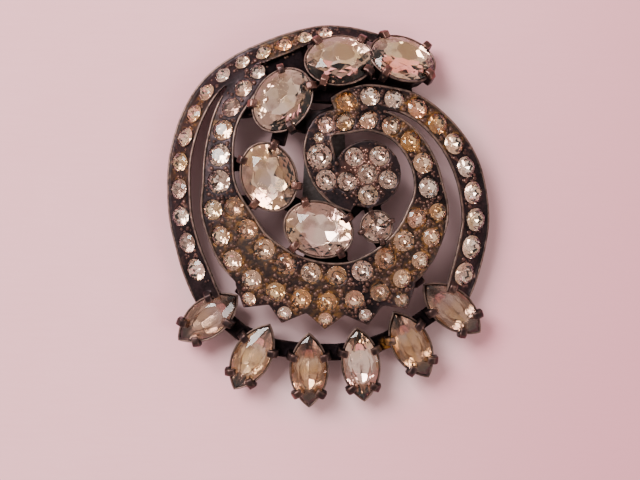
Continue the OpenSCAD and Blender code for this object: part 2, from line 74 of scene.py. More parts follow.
MM = 0.001
# Corners nearer than this are one; a height well above the clip; distance of nodes in a tree
MERGE = 0.001 * MM
ABOVE = 50.0 * MM
NODE_STEP = 180

PHOTO_WIDTH = 640
PHOTO_HEIGHT = 480
PIXEL = 0.15 * MM
# Place in the photo of the clip's own origin, in pixels
ORIGIN_PX = (329.0, 217.5)

Triple = tuple[float, float, float]
Colour = Triple
Socket = bpy.types.NodeSocket


class Cut(Enum):
    """Shapes that the stones are cut to."""

    ROUND = "round"
    OVAL = "oval"
    NAVETTE = "navette"


class Slot(Enum):
    """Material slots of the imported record."""

    METAL = "cast_metal"
    STEEL = "clip_steel"
    CLEAR = "clear_stones"
    YELLOWED = "yellowed_stones"


def colour(rgb: Colour) -> tuple[float, float, float, float]:
    """Gives an opaque colour for a shader socket."""
    return (*rgb, 1.0)


def deselect() -> None:
    """Leaves nothing selected and nothing active."""
    if bpy.context.object and bpy.context.object.mode != "OBJECT":
        bpy.ops.object.mode_set(mode="OBJECT")
    bpy.ops.object.select_all(action="DESELECT")
    bpy.context.view_layer.objects.active = None


def activate(piece: bpy.types.Object) -> None:
    """Selects one object alone and makes it the active one.

    Args:
        piece: the object.
    """
    deselect()
    piece.select_set(True)
    bpy.context.view_layer.objects.active = piece


def apply_modifier(piece: bpy.types.Object, kind: str, **settings: object) -> None:
    """Adds a modifier to a piece and applies it.

    Args:
        piece: the object to finish.
        kind: the modifier's type.
        settings: its properties by name.
    """
    activate(piece)
    modifier = piece.modifiers.new(kind.lower(), kind)
    for name, value in settings.items():
        setattr(modifier, name, value)
    bpy.ops.object.modifier_apply(modifier=modifier.name)


def join_all(pieces: list[bpy.types.Object], name: str) -> bpy.types.Object:
    """Joins pieces to one, in their order, and names it.

    Args:
        pieces: the pieces, of which the first takes in the others.
        name: the joined piece's name.

    Returns:
        The joined piece.
    """
    deselect()
    for piece in pieces:
        piece.select_set(True)
    bpy.context.view_layer.objects.active = pieces[0]
    if len(pieces) > 1:
        bpy.ops.object.join()
    joined = bpy.context.object
    joined.name = joined.data.name = name
    return joined


def join_copies(master: bpy.types.Object, places: list[Matrix], name: str) -> bpy.types.Object:
    """Sets copies of one master at several places and joins them to one piece.

    Args:
        master: the finished shape, modelled once at the origin.
        places: one matrix for each copy.
        name: the joined piece's name.

    Returns:
        The joined piece, with its place in its mesh.
    """
    copies = []
    for place in places:
        twin = master.copy()
        twin.data = master.data.copy()
        twin.data.transform(place)
        bpy.context.scene.collection.objects.link(twin)
        copies.append(twin)
    return join_all(copies, name)


def remove(piece: bpy.types.Object) -> None:
    """Deletes a helper object and its mesh.

    Args:
        piece: the helper.
    """
    mesh = piece.data
    bpy.data.objects.remove(piece)
    bpy.data.meshes.remove(mesh)


def copy_packed(node: bpy.types.Object, name: str) -> bpy.types.Object:
    """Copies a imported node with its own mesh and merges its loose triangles.

    Args:
        node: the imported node.
        name: the copy's name.

    Returns:
        The copy, in edit mode with everything selected.
    """
    piece = node.copy()
    piece.data = node.data.copy()
    piece.parent = None
    for key in list(piece.keys()):
        del piece[key]
    piece.name = name
    bpy.context.scene.collection.objects.link(piece)
    activate(piece)
    bpy.ops.object.mode_set(mode="EDIT")
    bpy.ops.mesh.select_all(action="SELECT")
    bpy.ops.mesh.remove_doubles(threshold=MERGE)
    return piece


def corners_of(mesh: bpy.types.Mesh) -> np.ndarray:
    """Reads the corners of a mesh, one row of x, y and z for each.

    Args:
        mesh: the mesh.

    Returns:
        The array of its corners.
    """
    corners = np.zeros(len(mesh.vertices) * 3)
    mesh.vertices.foreach_get("co", corners)
    return corners.reshape(-1, 3)


def mark(piece: bpy.types.Object, name: str, values: object, domain: str = "POINT") -> None:
    """Keeps a number for each corner or face of a piece as an attribute that its finish reads."""
    made = piece.data.attributes.new(name, "FLOAT", domain)
    made.data.foreach_set("value", values)


def refinish(piece: bpy.types.Object, finish: bpy.types.Material) -> None:
    """Takes a piece's materials off and gives it one finish."""
    piece.data.materials.clear()
    piece.data.materials.append(finish)


# Node groups and small helpers for materials


@dataclass
class Wiring:
    """Adds and joins the nodes of one tree."""

    tree: bpy.types.NodeTree
    column: int = 0

    def add(self, kind: str, **inputs: object) -> bpy.types.Node:
        """Adds a node and sets its inputs.

        Args:
            kind: the node's type without its ShaderNode prefix.
            inputs: properties in lower case, and input sockets by their names.

        Returns:
            The new node.
        """
        made = self.tree.nodes.new("ShaderNode" + kind)
        made.location = (self.column * NODE_STEP, 0)
        self.column += 1
        for name, value in inputs.items():
            if hasattr(made, name):
                setattr(made, name, value)
            else:
                self.put(made.inputs[name], value)
        return made

    def put(self, socket: Socket, value: object) -> None:
        """Links a socket to the value's socket, or sets it to the value.

        Args:
            socket: the input.
            value: an output, or what the input is set to.
        """
        if isinstance(value, Socket):
            self.tree.links.new(value, socket)
        else:
            socket.default_value = value

    def math(self, operation: str, *values: object, clamp: bool = False) -> Socket:
        """Works out one number from one, two or three values.

        Args:
            operation: the sum to work out.
            values: sockets or numbers.
            clamp: true to hold the result between 0 and 1.

        Returns:
            The result.
        """
        made = self.add("Math", operation=operation, use_clamp=clamp)
        for socket, value in zip(made.inputs, values):
            self.put(socket, value)
        return made.outputs[0]

    def times(self, first: object, second: object, clamp: bool = False) -> Socket:
        """Multiplies two values."""
        return self.math("MULTIPLY", first, second, clamp=clamp)

    def vector(self, operation: str, *values: object) -> bpy.types.Node:
        """Adds a node that works on one or two vectors.

        Args:
            operation: what it works out.
            values: sockets or triples.

        Returns:
            The node.
        """
        made = self.add("VectorMath", operation=operation)
        for socket, value in zip(made.inputs, values):
            self.put(socket, value)
        return made

    def mask(self, name: str) -> Socket:
        """Reads one of the numbers that mark() keeps on a piece."""
        return self.add("Attribute", attribute_name=name).outputs["Fac"]

    def blend(self, share: object, low: object, high: object) -> Socket:
        """Mixes two colours by a share.

        Args:
            share: the share of the second.
            low: the first colour.
            high: the second colour.

        Returns:
            The mixed colour.
        """
        made = self.add("Mix", data_type="RGBA")
        self.put(made.inputs[0], share)
        self.put(made.inputs[6], low)
        self.put(made.inputs[7], high)
        return made.outputs[2]

    def ramp(self, value: object, low: float, high: float, to_low: float = 0.0,
             to_high: float = 1.0) -> Socket:
        """Maps a range of values to another range, held at its ends.

        Args:
            value: the socket to read.
            low: value that gives to_low.
            high: value that gives to_high.
            to_low: first end of the result.
            to_high: second end of the result.

        Returns:
            The mapped socket.
        """
        ends = {"From Min": low, "From Max": high, "To Min": to_low, "To Max": to_high}
        made = self.add("MapRange", interpolation_type="SMOOTHSTEP", Value=value, **ends)
        return made.outputs["Result"]

    def noise(self, where: object, scale: object, detail: float = 4.0, rough: float = 0.55) -> Socket:
        """Adds a noise texture over a place and gives its value."""
        made = self.add("TexNoise", Vector=where, Scale=scale, Detail=detail, Roughness=rough)
        return made.outputs["Fac"]

    def bump(self, shader: bpy.types.Node, height: object, strength: float, depth: float) -> None:
        """Lets a height show in a shader's surface.

        Args:
            shader: the shader.
            height: the height, about 0 to 1.
            strength: share of the full effect.
            depth: length that a height of 1 stands for.
        """
        made = self.add("Bump", Strength=strength, Distance=depth, Height=height)
        self.put(shader.inputs["Normal"], made.outputs["Normal"])


def new_group(name: str, numbers: dict[str, float],
              outputs: list[str]) -> tuple[bpy.types.NodeTree, Wiring, bpy.types.Node, bpy.types.Node]:
    """Starts a shader node group with a place input, number inputs and number outputs.

    Args:
        name: the group's name.
        numbers: name and standing value of each number input.
        outputs: names of the number outputs.

    Returns:
        The group, its wiring, its input node and its output node.
    """
    group = bpy.data.node_groups.new(name, "ShaderNodeTree")
    group.interface.new_socket("Place", in_out="INPUT", socket_type="NodeSocketVector")
    for label, value in numbers.items():
        socket = group.interface.new_socket(label, in_out="INPUT", socket_type="NodeSocketFloat")
        socket.default_value = value
    for label in outputs:
        group.interface.new_socket(label, in_out="OUTPUT", socket_type="NodeSocketFloat")
    wiring = Wiring(group)
    return group, wiring, group.nodes.new("NodeGroupInput"), group.nodes.new("NodeGroupOutput")


@dataclass(frozen=True)
class Stain:
    """A round patch of age stain: its place as shares of the clip's width and height.

    Attributes:
        x: place along X over the width.
        y: place along Y over the height.
        radius: radius over the width.
        strength: how far the patch has taken, from 0 to 1.
    """

    x: float
    y: float
    radius: float
    strength: float = 1.0


STAINS = (
    Stain(-0.235, -0.060, 0.135),
    Stain(-0.190, -0.150, 0.090, 0.8),
    Stain(0.285, -0.065, 0.135),
    Stain(0.190, -0.150, 0.080, 0.7),
    Stain(-0.030, -0.215, 0.115, 0.9),
    Stain(0.315, 0.245, 0.120, 0.9),
    Stain(0.259, 0.287, 0.050),
    Stain(0.043, 0.292, 0.055),
    Stain(0.245, 0.205, 0.060),
    Stain(0.181, -0.333, 0.050),
    Stain(-0.142, 0.445, 0.070, 0.9),
    Stain(-0.420, 0.260, 0.085, 0.6),
    Stain(-0.455, 0.130, 0.070, 0.45),
    Stain(0.048, 0.426, 0.042),
    Stain(0.250, 0.432, 0.040),
    Stain(-0.205, 0.140, 0.060, 0.5),
    Stain(-0.250, -0.375, 0.060, 0.7),
    Stain(-0.062, -0.422, 0.065, 0.8),
    Stain(0.275, -0.349, 0.060, 0.8),
    Stain(0.395, -0.225, 0.050, 0.4),
    Stain(-0.390, -0.270, 0.060, 0.35),
)
"""Where the metal and the stones have stained."""


OLIVE_ZONES = (
    Stain(0.065, 0.429, 0.050, 0.6),
    Stain(0.225, 0.442, 0.055, 0.8),
    Stain(-0.142, 0.331, 0.050, 0.5),
    Stain(-0.173, 0.149, 0.050, 0.4),
    Stain(-0.074, 0.004, 0.050, 0.3),
    Stain(-0.238, -0.372, 0.050, 0.9),
    Stain(-0.062, -0.378, 0.040, 1.0),
    Stain(0.086, -0.318, 0.045, 0.7),
    Stain(0.284, -0.323, 0.045, 0.9),
    Stain(0.410, -0.245, 0.045, 0.9),
    Stain(-0.389, -0.279, 0.040, 0.5),
)
"""Places where the large stones have turned olive."""


GREY_ZONES = (
    Stain(-0.324, -0.230, 0.070, 0.9),
    Stain(-0.204, -0.300, 0.055, 0.9),
    Stain(-0.062, -0.326, 0.065, 1.0),
    Stain(0.238, -0.276, 0.070, 1.0),
    Stain(0.343, -0.209, 0.075, 1.0),
    Stain(-0.398, -0.292, 0.040, 0.5),
    Stain(-0.176, 0.092, 0.050, 0.3),
)
"""Places where the large stones have clouded grey."""


# Shares of a patch's radius at which it ends and is full, and how hard the noise tears it
PATCH_ENDS = 1.15
PATCH_FULL = 0.55
TEARING = 4.0


@dataclass
class Effects:
    """Node groups that more than one finish uses.

    Attributes:
        width: the clip's width.
        height: the clip's height.
        groups: the groups by name.
    """

    width: float
    height: float
    groups: dict[str, bpy.types.NodeTree] = field(default_factory=dict)

    def build(self) -> None:
        """Builds every shared group once."""
        self.groups["stain"] = self._patches("stain_patches", STAINS)
        self.groups["olive"] = self._patches("olive_zones", OLIVE_ZONES)
        self.groups["grey"] = self._patches("grey_zones", GREY_ZONES)
        self.groups["wear"] = self._edge_wear()
        self.groups["cast"] = self._cast_skin()

    def _patches(self, name: str, stains: tuple[Stain, ...]) -> bpy.types.NodeTree:
        """Makes the mask of some stains: soft patches broken up by noise.

        Args:
            name: the group's name.
            stains: the patches that it masks.

        Returns:
            The group.
        """
        group, wire, source, sink = new_group(name, {"Ragged": 0.35, "Scale": 900.0}, ["Mask"])
        place = source.outputs["Place"]
        flat = wire.vector("MULTIPLY", place, (1.0, 1.0, 0.0)).outputs[0]
        total: object = 0.0
        for stain in stains:
            middle = (stain.x * self.width, stain.y * self.height, 0.0)
            apart = wire.vector("DISTANCE", flat, middle).outputs["Value"]
            radius = stain.radius * self.width
            patch = wire.ramp(apart, radius * PATCH_ENDS, radius * PATCH_FULL, 0.0, stain.strength)
            total = wire.math("MAXIMUM", total, patch)
        ragged = wire.math("SUBTRACT", wire.noise(place, source.outputs["Scale"]), 0.5)
        torn = wire.times(wire.times(ragged, source.outputs["Ragged"]), TEARING)
        spread = wire.math("ADD", total, wire.times(torn, total))
        wire.put(sink.inputs["Mask"], wire.times(spread, 1.0, clamp=True))
        return group

    def _edge_wear(self) -> bpy.types.NodeTree:
        """Makes the mask of rubbed edges and the mask of dirt in corners.

        Returns:
            The group.
        """
        group, wire, source, sink = new_group(
            "edge_wear", {"Start": 0.52, "Full": 0.6, "Scale": 1200.0}, ["Worn", "Dirt"])
        bend = wire.add("NewGeometry").outputs["Pointiness"]
        worn = wire.math("SUBTRACT", bend, source.outputs["Start"])
        span = wire.math("SUBTRACT", source.outputs["Full"], source.outputs["Start"])
        worn = wire.math("DIVIDE", worn, span, clamp=True)
        patchy = wire.noise(source.outputs["Place"], source.outputs["Scale"])
        patchy = wire.ramp(patchy, 0.32, 0.6, 0.25, 1.0)
        wire.put(sink.inputs["Worn"], wire.times(worn, patchy, clamp=True))
        wire.put(sink.inputs["Dirt"], wire.ramp(bend, 0.49, 0.43))
        return group

    def _cast_skin(self) -> bpy.types.NodeTree:
        """Makes the uneven tone of old metal and the height of its cast skin.

        Returns:
            The group.
        """
        group, wire, source, sink = new_group(
            "cast_skin", {"Grain": 2600.0, "Blotch": 320.0}, ["Tone", "Height"])
        place = source.outputs["Place"]
        fine = wire.noise(place, source.outputs["Grain"], 5.0, 0.6)
        broad = wire.noise(place, source.outputs["Blotch"], 3.0)
        tone = wire.math("ADD", wire.times(fine, 0.4), wire.times(broad, 0.6))
        wire.put(sink.inputs["Tone"], wire.ramp(tone, 0.35, 0.65))
        wire.put(sink.inputs["Height"], wire.math("ADD", fine, wire.times(broad, 0.5)))
        return group

    def use(self, wire: Wiring, name: str, place: object, **numbers: float) -> bpy.types.Node:
        """Places a shared group in a material.

        Args:
            wire: the material's wiring.
            name: which group.
            place: socket with the Object coordinates.
            numbers: values of its inputs.

        Returns:
            The group's node.
        """
        made = wire.add("Group", node_tree=self.groups[name])
        wire.put(made.inputs["Place"], place)
        for label, value in numbers.items():
            made.inputs[label].default_value = value
        return made


@dataclass(frozen=True)
class Finish:
    """A finish that is painted as one material with a Principled shader."""

    name: str

    def material(self, effects: Effects) -> bpy.types.Material:
        """Builds the finish.

        Args:
            effects: the shared node groups.

        Returns:
            The material.
        """
        material = bpy.data.materials.new(self.name)
        material.use_nodes = True
        material.node_tree.nodes.clear()
        wire = Wiring(material.node_tree)
        place = wire.add("TexCoord").outputs["Object"]
        shader = wire.add("BsdfPrincipled")
        output = wire.add("OutputMaterial")
        wire.put(output.inputs["Surface"], shader.outputs["BSDF"])
        self.paint(wire, shader, place, effects)
        return material

    def paint(self, wire: Wiring, shader: bpy.types.Node, place: Socket, effects: Effects) -> None:
        """Wires the shader's inputs.

        Args:
            wire: the material's wiring.
            shader: the Principled shader.
            place: socket with the Object coordinates.
            effects: the shared node groups.
        """
        raise NotImplementedError


@dataclass(frozen=True)
class CastMetal(Finish):
    """Dark tarnished casting, rubbed to copper-pink on edges, stained in patches, and painted dark as
    shade where it lies low.
    """

    name: str = "cast_metal"
    deep: Colour = (0.006, 0.004, 0.005)
    skin: Colour = (0.030, 0.019, 0.022)
    worn: Colour = (0.30, 0.17, 0.14)
    copper: Colour = (0.145, 0.068, 0.054)
    rust: Colour = (0.020, 0.008, 0.004)
    amber: Colour = (0.36, 0.155, 0.034)
    specks: float = 0.3
    rubbed: float = 0.7
    metallic: float = 0.85
    roughness: float = 0.34
    bump: float = 0.5
    bump_depth: float = 0.07 * MM

    def paint(self, wire: Wiring, shader: bpy.types.Node, place: Socket, effects: Effects) -> None:
        """Wires the shader's inputs.

        Args:
            wire: the material's wiring.
            shader: the Principled shader.
            place: socket with the Object coordinates.
            effects: the shared node groups.
        """
        skin = effects.use(wire, "cast", place)
        wear = effects.use(wire, "wear", place)
        stain = effects.use(wire, "stain", place)
        claw = wire.mask("claw")
        base = wire.blend(skin.outputs["Tone"], colour(self.deep), colour(self.skin))
        speck = wire.ramp(wire.noise(place, 1500.0, 3.0), 0.50, 0.68)
        speck = wire.times(speck, wire.ramp(wire.noise(place, 170.0, 2.0), 0.42, 0.62))
        base = wire.blend(wire.times(speck, self.specks), base, colour(self.copper))
        bare = wire.ramp(wire.noise(place, 150.0, 1.0), 0.36, 0.52, 0.15, 1.0)
        bare = wire.times(bare, wire.ramp(skin.outputs["Tone"], 0.0, 0.7, 0.45, 1.0))
        base = wire.blend(wire.times(claw, bare), base, colour(self.copper))
        # Painted shade: metal lying well below the dome is darkened towards the deep colour, made rougher
        # and fully metallic, for the shade in those recesses
        low = wire.mask("low")
        dirt_and_shade = wire.math("MAXIMUM", wear.outputs["Dirt"], low)
        base = wire.blend(wire.times(dirt_and_shade, 0.85), base, colour(self.deep))
        ring = wire.mask("ring")
        crust = wire.ramp(wire.noise(place, 1050.0, 4.0, 0.65), 0.44, 0.68)
        crust = wire.times(crust, wire.ramp(ring, 0.0, 1.0, 0.30, 1.0))
        resin = wire.blend(crust, colour(self.rust), colour(self.amber))
        soaked = wire.times(stain.outputs["Mask"], wire.ramp(ring, 0.0, 0.5, 0.62, 1.0))
        # Painted shade: low metal away from the stones keeps no stain, so that it stays dark
        bare_low = wire.times(low, wire.math("SUBTRACT", 1.0, ring))
        soaked = wire.times(soaked, wire.math("SUBTRACT", 1.0, bare_low))
        base = wire.blend(soaked, base, resin)
        base = wire.blend(wire.times(wear.outputs["Worn"], self.rubbed), base, colour(self.worn))
        wire.put(shader.inputs["Base Color"], base)
        rough = wire.ramp(skin.outputs["Tone"], 0.0, 1.0, self.roughness + 0.14, self.roughness)
        rough = wire.math("SUBTRACT", rough, wire.times(claw, 0.12))
        wire.put(shader.inputs["Roughness"], wire.math("ADD", rough, wire.times(low, 0.3)))
        shine = wire.ramp(stain.outputs["Mask"], 0.0, 1.0, self.metallic, 0.5)
        wire.put(shader.inputs["Metallic"], wire.math("MAXIMUM", shine, low))
        wire.bump(shader, skin.outputs["Height"], self.bump, self.bump_depth)


@dataclass(frozen=True)
class ClipSteel(Finish):
    """Dulled grey spring metal of the clip behind the frame."""

    name: str = "clip_steel"
    low: Colour = (0.13, 0.11, 0.11)
    high: Colour = (0.30, 0.27, 0.27)
    worn: Colour = (0.55, 0.50, 0.49)
    roughness: float = 0.34

    def paint(self, wire: Wiring, shader: bpy.types.Node, place: Socket, effects: Effects) -> None:
        """Wires the shader's inputs.

        Args:
            wire: the material's wiring.
            shader: the Principled shader.
            place: socket with the Object coordinates.
            effects: the shared node groups.
        """
        skin = effects.use(wire, "cast", place, Grain=1800.0, Blotch=260.0)
        wear = effects.use(wire, "wear", place)
        base = wire.blend(skin.outputs["Tone"], colour(self.low), colour(self.high))
        wire.put(shader.inputs["Base Color"], wire.blend(wear.outputs["Worn"], base, colour(self.worn)))
        shader.inputs["Metallic"].default_value = 0.9
        wire.put(shader.inputs["Roughness"],
                 wire.ramp(skin.outputs["Tone"], 0.0, 1.0, self.roughness + 0.15, self.roughness))
        wire.bump(shader, skin.outputs["Height"], 0.2, 0.03 * MM)


@dataclass(frozen=True)
class CutGlass(Finish):
    """Clear paste that has yellowed where the stain reached it."""

    name: str = "cut_glass"
    clear: Colour = (0.995, 0.92, 0.86)
    yellowed: Colour = (0.95, 0.60, 0.19)
    olive: Colour = (0.95, 0.84, 0.56)
    grey: Colour = (0.80, 0.79, 0.83)
    stain_share: float = 0.45
    zoned: float = 0.0
    ior: float = 1.52
    roughness: float = 0.01

    def paint(self, wire: Wiring, shader: bpy.types.Node, place: Socket, effects: Effects) -> None:
        """Wires the shader's inputs.

        Args:
            wire: the material's wiring.
            shader: the Principled shader.
            place: socket with the Object coordinates.
            effects: the shared node groups.
        """
        stain = effects.use(wire, "stain", place, Ragged=0.2, Scale=420.0)
        tone = wire.mask("tone")
        rim = wire.mask("rim")
        amount = wire.times(stain.outputs["Mask"], wire.ramp(tone, 0.3, 0.8, 1.0, 0.45))
        amount = wire.math("MAXIMUM", amount, wire.ramp(tone, 0.80, 0.9, 0.0, 0.5))
        amount = wire.times(amount, wire.ramp(rim, 0.0, 1.0, self.stain_share, 1.0))
        base: object = colour(self.clear)
        for zone, tint in (("grey", self.grey), ("olive", self.olive)):
            mask = effects.use(wire, zone, place, Ragged=0.25, Scale=500.0)
            base = wire.blend(wire.times(mask.outputs["Mask"], self.zoned), base, colour(tint))
        wire.put(shader.inputs["Base Color"], wire.blend(amount, base, colour(self.yellowed)))
        shader.inputs["Transmission Weight"].default_value = 1.0
        shader.inputs["Metallic"].default_value = 0.0
        shader.inputs["IOR"].default_value = self.ior
        shader.inputs["Roughness"].default_value = self.roughness


@dataclass(frozen=True)
class FoilBack(Finish):
    """Silvered and lacquered backs of the stones, clouded with age."""

    name: str = "foil_back"
    bright: Colour = (0.99, 0.88, 0.81)
    clouded: Colour = (0.43, 0.31, 0.28)
    olive: Colour = (0.80, 0.66, 0.36)
    rosy: Colour = (0.95, 0.66, 0.66)
    roughness: float = 0.04

    def paint(self, wire: Wiring, shader: bpy.types.Node, place: Socket, effects: Effects) -> None:
        """Wires the shader's inputs.

        Args:
            wire: the material's wiring.
            shader: the Principled shader.
            place: socket with the Object coordinates.
            effects: the shared node groups, not used here.
        """
        tone = wire.mask("tone")
        cloud = wire.ramp(wire.noise(place, 420.0, 2.0), 0.52, 0.72, 0.0, 0.7)
        rim = wire.mask("rim")
        worn_off = wire.ramp(tone, 0.0, 0.3, 0.9, 0.0)
        worn_off = wire.times(worn_off, wire.ramp(rim, 0.0, 1.0, 1.0, 0.55))
        cloud = wire.math("ADD", cloud, worn_off, clamp=True)
        greened = wire.ramp(wire.noise(place, 310.0, 1.0), 0.50, 0.62, 0.0, 0.5)
        greened = wire.times(greened, wire.ramp(tone, 0.52, 0.74, 1.0, 0.0))
        aged = wire.blend(greened, colour(self.bright), colour(self.olive))
        reddened = wire.ramp(wire.noise(place, 230.0, 1.0), 0.53, 0.66, 0.0, 0.6)
        aged = wire.blend(reddened, aged, colour(self.rosy))
        wire.put(shader.inputs["Base Color"], wire.blend(cloud, aged, colour(self.clouded)))
        shader.inputs["Metallic"].default_value = 1.0
        wire.put(shader.inputs["Roughness"], wire.ramp(cloud, 0.0, 1.0, self.roughness, 0.2))


@dataclass(frozen=True)
class PaleCloth(Finish):
    """Pale pink-mauve sheet that the clip lies on, with a painted shadow, greyer and darker, under and
    round the clip, and painted shade towards the lower right.
    """

    name: str = "pale_cloth"
    light: Colour = (0.955, 0.485, 0.55)
    shade: Colour = (0.925, 0.455, 0.515)
    # Painted shade: the cloth's darker, redder colour towards the lower right, away from the window lamp
    painted_shade_lower_right: Colour = (0.77, 0.315, 0.385)
    # Painted shadow: the greyer, darker colour of the cloth under and round the clip
    painted_shadow: Colour = (0.80, 0.53, 0.55)
    # Half width and half height of the painted shadow patch
    shaded_half_width: float = 24.3 * MM
    shaded_half_height: float = 28.9 * MM

    def paint(self, wire: Wiring, shader: bpy.types.Node, place: Socket, effects: Effects) -> None:
        """Wires the shader's inputs.

        Args:
            wire: the material's wiring.
            shader: the Principled shader.
            place: socket with the Object coordinates.
            effects: the shared node groups, not used here.
        """
        broad = wire.noise(place, 40.0, 3.0)
        threads = wire.add("Mapping", Vector=place, Scale=(0.12, 1.0, 1.0))
        fine = wire.noise(threads.outputs["Vector"], 1500.0, 3.0)
        mixed = wire.math("ADD", wire.ramp(broad, 0.3, 0.7, 0.0, 0.6), wire.ramp(fine, 0.3, 0.7, 0.0, 0.4))
        tone = wire.blend(mixed, colour(self.light), colour(self.shade))
        where = wire.add("SeparateXYZ", Vector=place)
        # Painted shade: the cloth darkens towards the lower right
        aside = wire.math("SUBTRACT", where.outputs["X"], wire.times(where.outputs["Y"], 0.35))
        tone = wire.blend(wire.ramp(aside, -0.02, 0.07), tone, colour(self.painted_shade_lower_right))
        # Painted shadow: a soft patch under and round the clip, shifted a little to the lower right, away
        # from the window lamp
        scale = (1.0 / self.shaded_half_width, 1.0 / self.shaded_half_height, 0.0)
        level = wire.add("Mapping", Vector=place, Scale=scale, Location=(-0.05, 0.05, 0.0))
        reach = wire.vector("LENGTH", level.outputs["Vector"]).outputs["Value"]
        under = wire.ramp(reach, 0.85, 1.16, 1.0, 0.0)
        wire.put(shader.inputs["Base Color"], wire.blend(under, tone, colour(self.painted_shadow)))
        shader.inputs["Roughness"].default_value = 0.9
        wire.bump(shader, fine, 0.35, 0.07 * MM)


# Stones


@dataclass(frozen=True)
class StonePlace:
    """Where one stone sits.

    Attributes:
        centre: middle of its girdle.
        long_way: direction of its length.
        axis: direction in which it faces.
        half_length: half of its length.
        half_width: half of its width.
        crown: height over the girdle.
        pavilion: depth under it.
    """

    centre: Vector
    long_way: Vector
    axis: Vector
    half_length: float
    half_width: float
    crown: float
    pavilion: float

    def matrix(self, spin: float = 0.0, lean: tuple[float, float] = (0.0, 0.0)) -> Matrix:
        """Gives the matrix that sets a stone of half length 1 here.

        Args:
            spin: turn about the stone's own axis, in radians.
            lean: small tilts about its two level axes, in radians.

        Returns:
            The matrix from the unit stone to the model's frame.
        """
        across = self.axis.cross(self.long_way)
        turn = Matrix((self.long_way, across, self.axis)).transposed().to_4x4()
        own = Matrix.Rotation(lean[0], 4, "X") @ Matrix.Rotation(lean[1], 4, "Y")
        own = own @ Matrix.Rotation(spin, 4, "Z")
        return Matrix.Translation(self.centre) @ turn @ own @ Matrix.Scale(self.half_length, 4)


def loose_parts(mesh: bpy.types.Mesh) -> list[np.ndarray]:
    """Gathers the separate solids of a mesh of loose triangles.

    Args:
        mesh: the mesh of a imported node.

    Returns:
        For each solid, an array of its distinct corners.
    """
    distinct, index = np.unique(np.round(corners_of(mesh), 7), axis=0, return_inverse=True)
    index = index.reshape(-1)
    parent = list(range(len(distinct)))

    def find(item: int) -> int:
        """Finds the first corner of the solid that a corner belongs to."""
        while parent[item] != item:
            parent[item] = parent[parent[item]]
            item = parent[item]
        return item

    for face in mesh.polygons:
        ends = [find(index[corner]) for corner in face.vertices]
        for other in ends[1:]:
            parent[find(other)] = find(ends[0])
    solids: dict[int, list[int]] = {}
    for item in range(len(distinct)):
        solids.setdefault(find(item), []).append(item)
    return [distinct[members] for members in solids.values()]


# An outline as near to round as this counts as round; corners as near the widest are the girdle
ROUND_WITHIN = 1.05
GIRDLE_FROM = 0.97


def read_stone(corners: np.ndarray) -> StonePlace:
    """Works out from a packed stone's corners where it sits and how it is turned.

    Args:
        corners: the stone's distinct corners.

    Returns:
        Its place.
    """
    middle = corners.mean(axis=0)
    _, ways = np.linalg.eigh(np.cov((corners - middle).T))
    axis = ways[:, 0] * (1 if ways[2, 0] > 0 else -1)
    heights = (corners - middle) @ axis
    flat = (corners - middle) - np.outer(heights, axis)
    reach = np.linalg.norm(flat, axis=1)
    long_way = ways[:, 2]
    if reach.max() < ROUND_WITHIN * np.abs(flat @ ways[:, 1]).max():
        long_way = flat[reach.argmax()] / reach.max()
    long_way = long_way - axis * (long_way @ axis)
    long_way /= np.linalg.norm(long_way)
    across = np.cross(axis, long_way)
    girdle = heights[reach > GIRDLE_FROM * reach.max()].mean()
    centre = middle + axis * girdle
    return StonePlace(
        Vector(centre), Vector(long_way), Vector(axis),
        float(np.abs(flat @ long_way).max()), float(np.abs(flat @ across).max()),
        float(heights.max() - girdle), float(girdle - heights.min()))


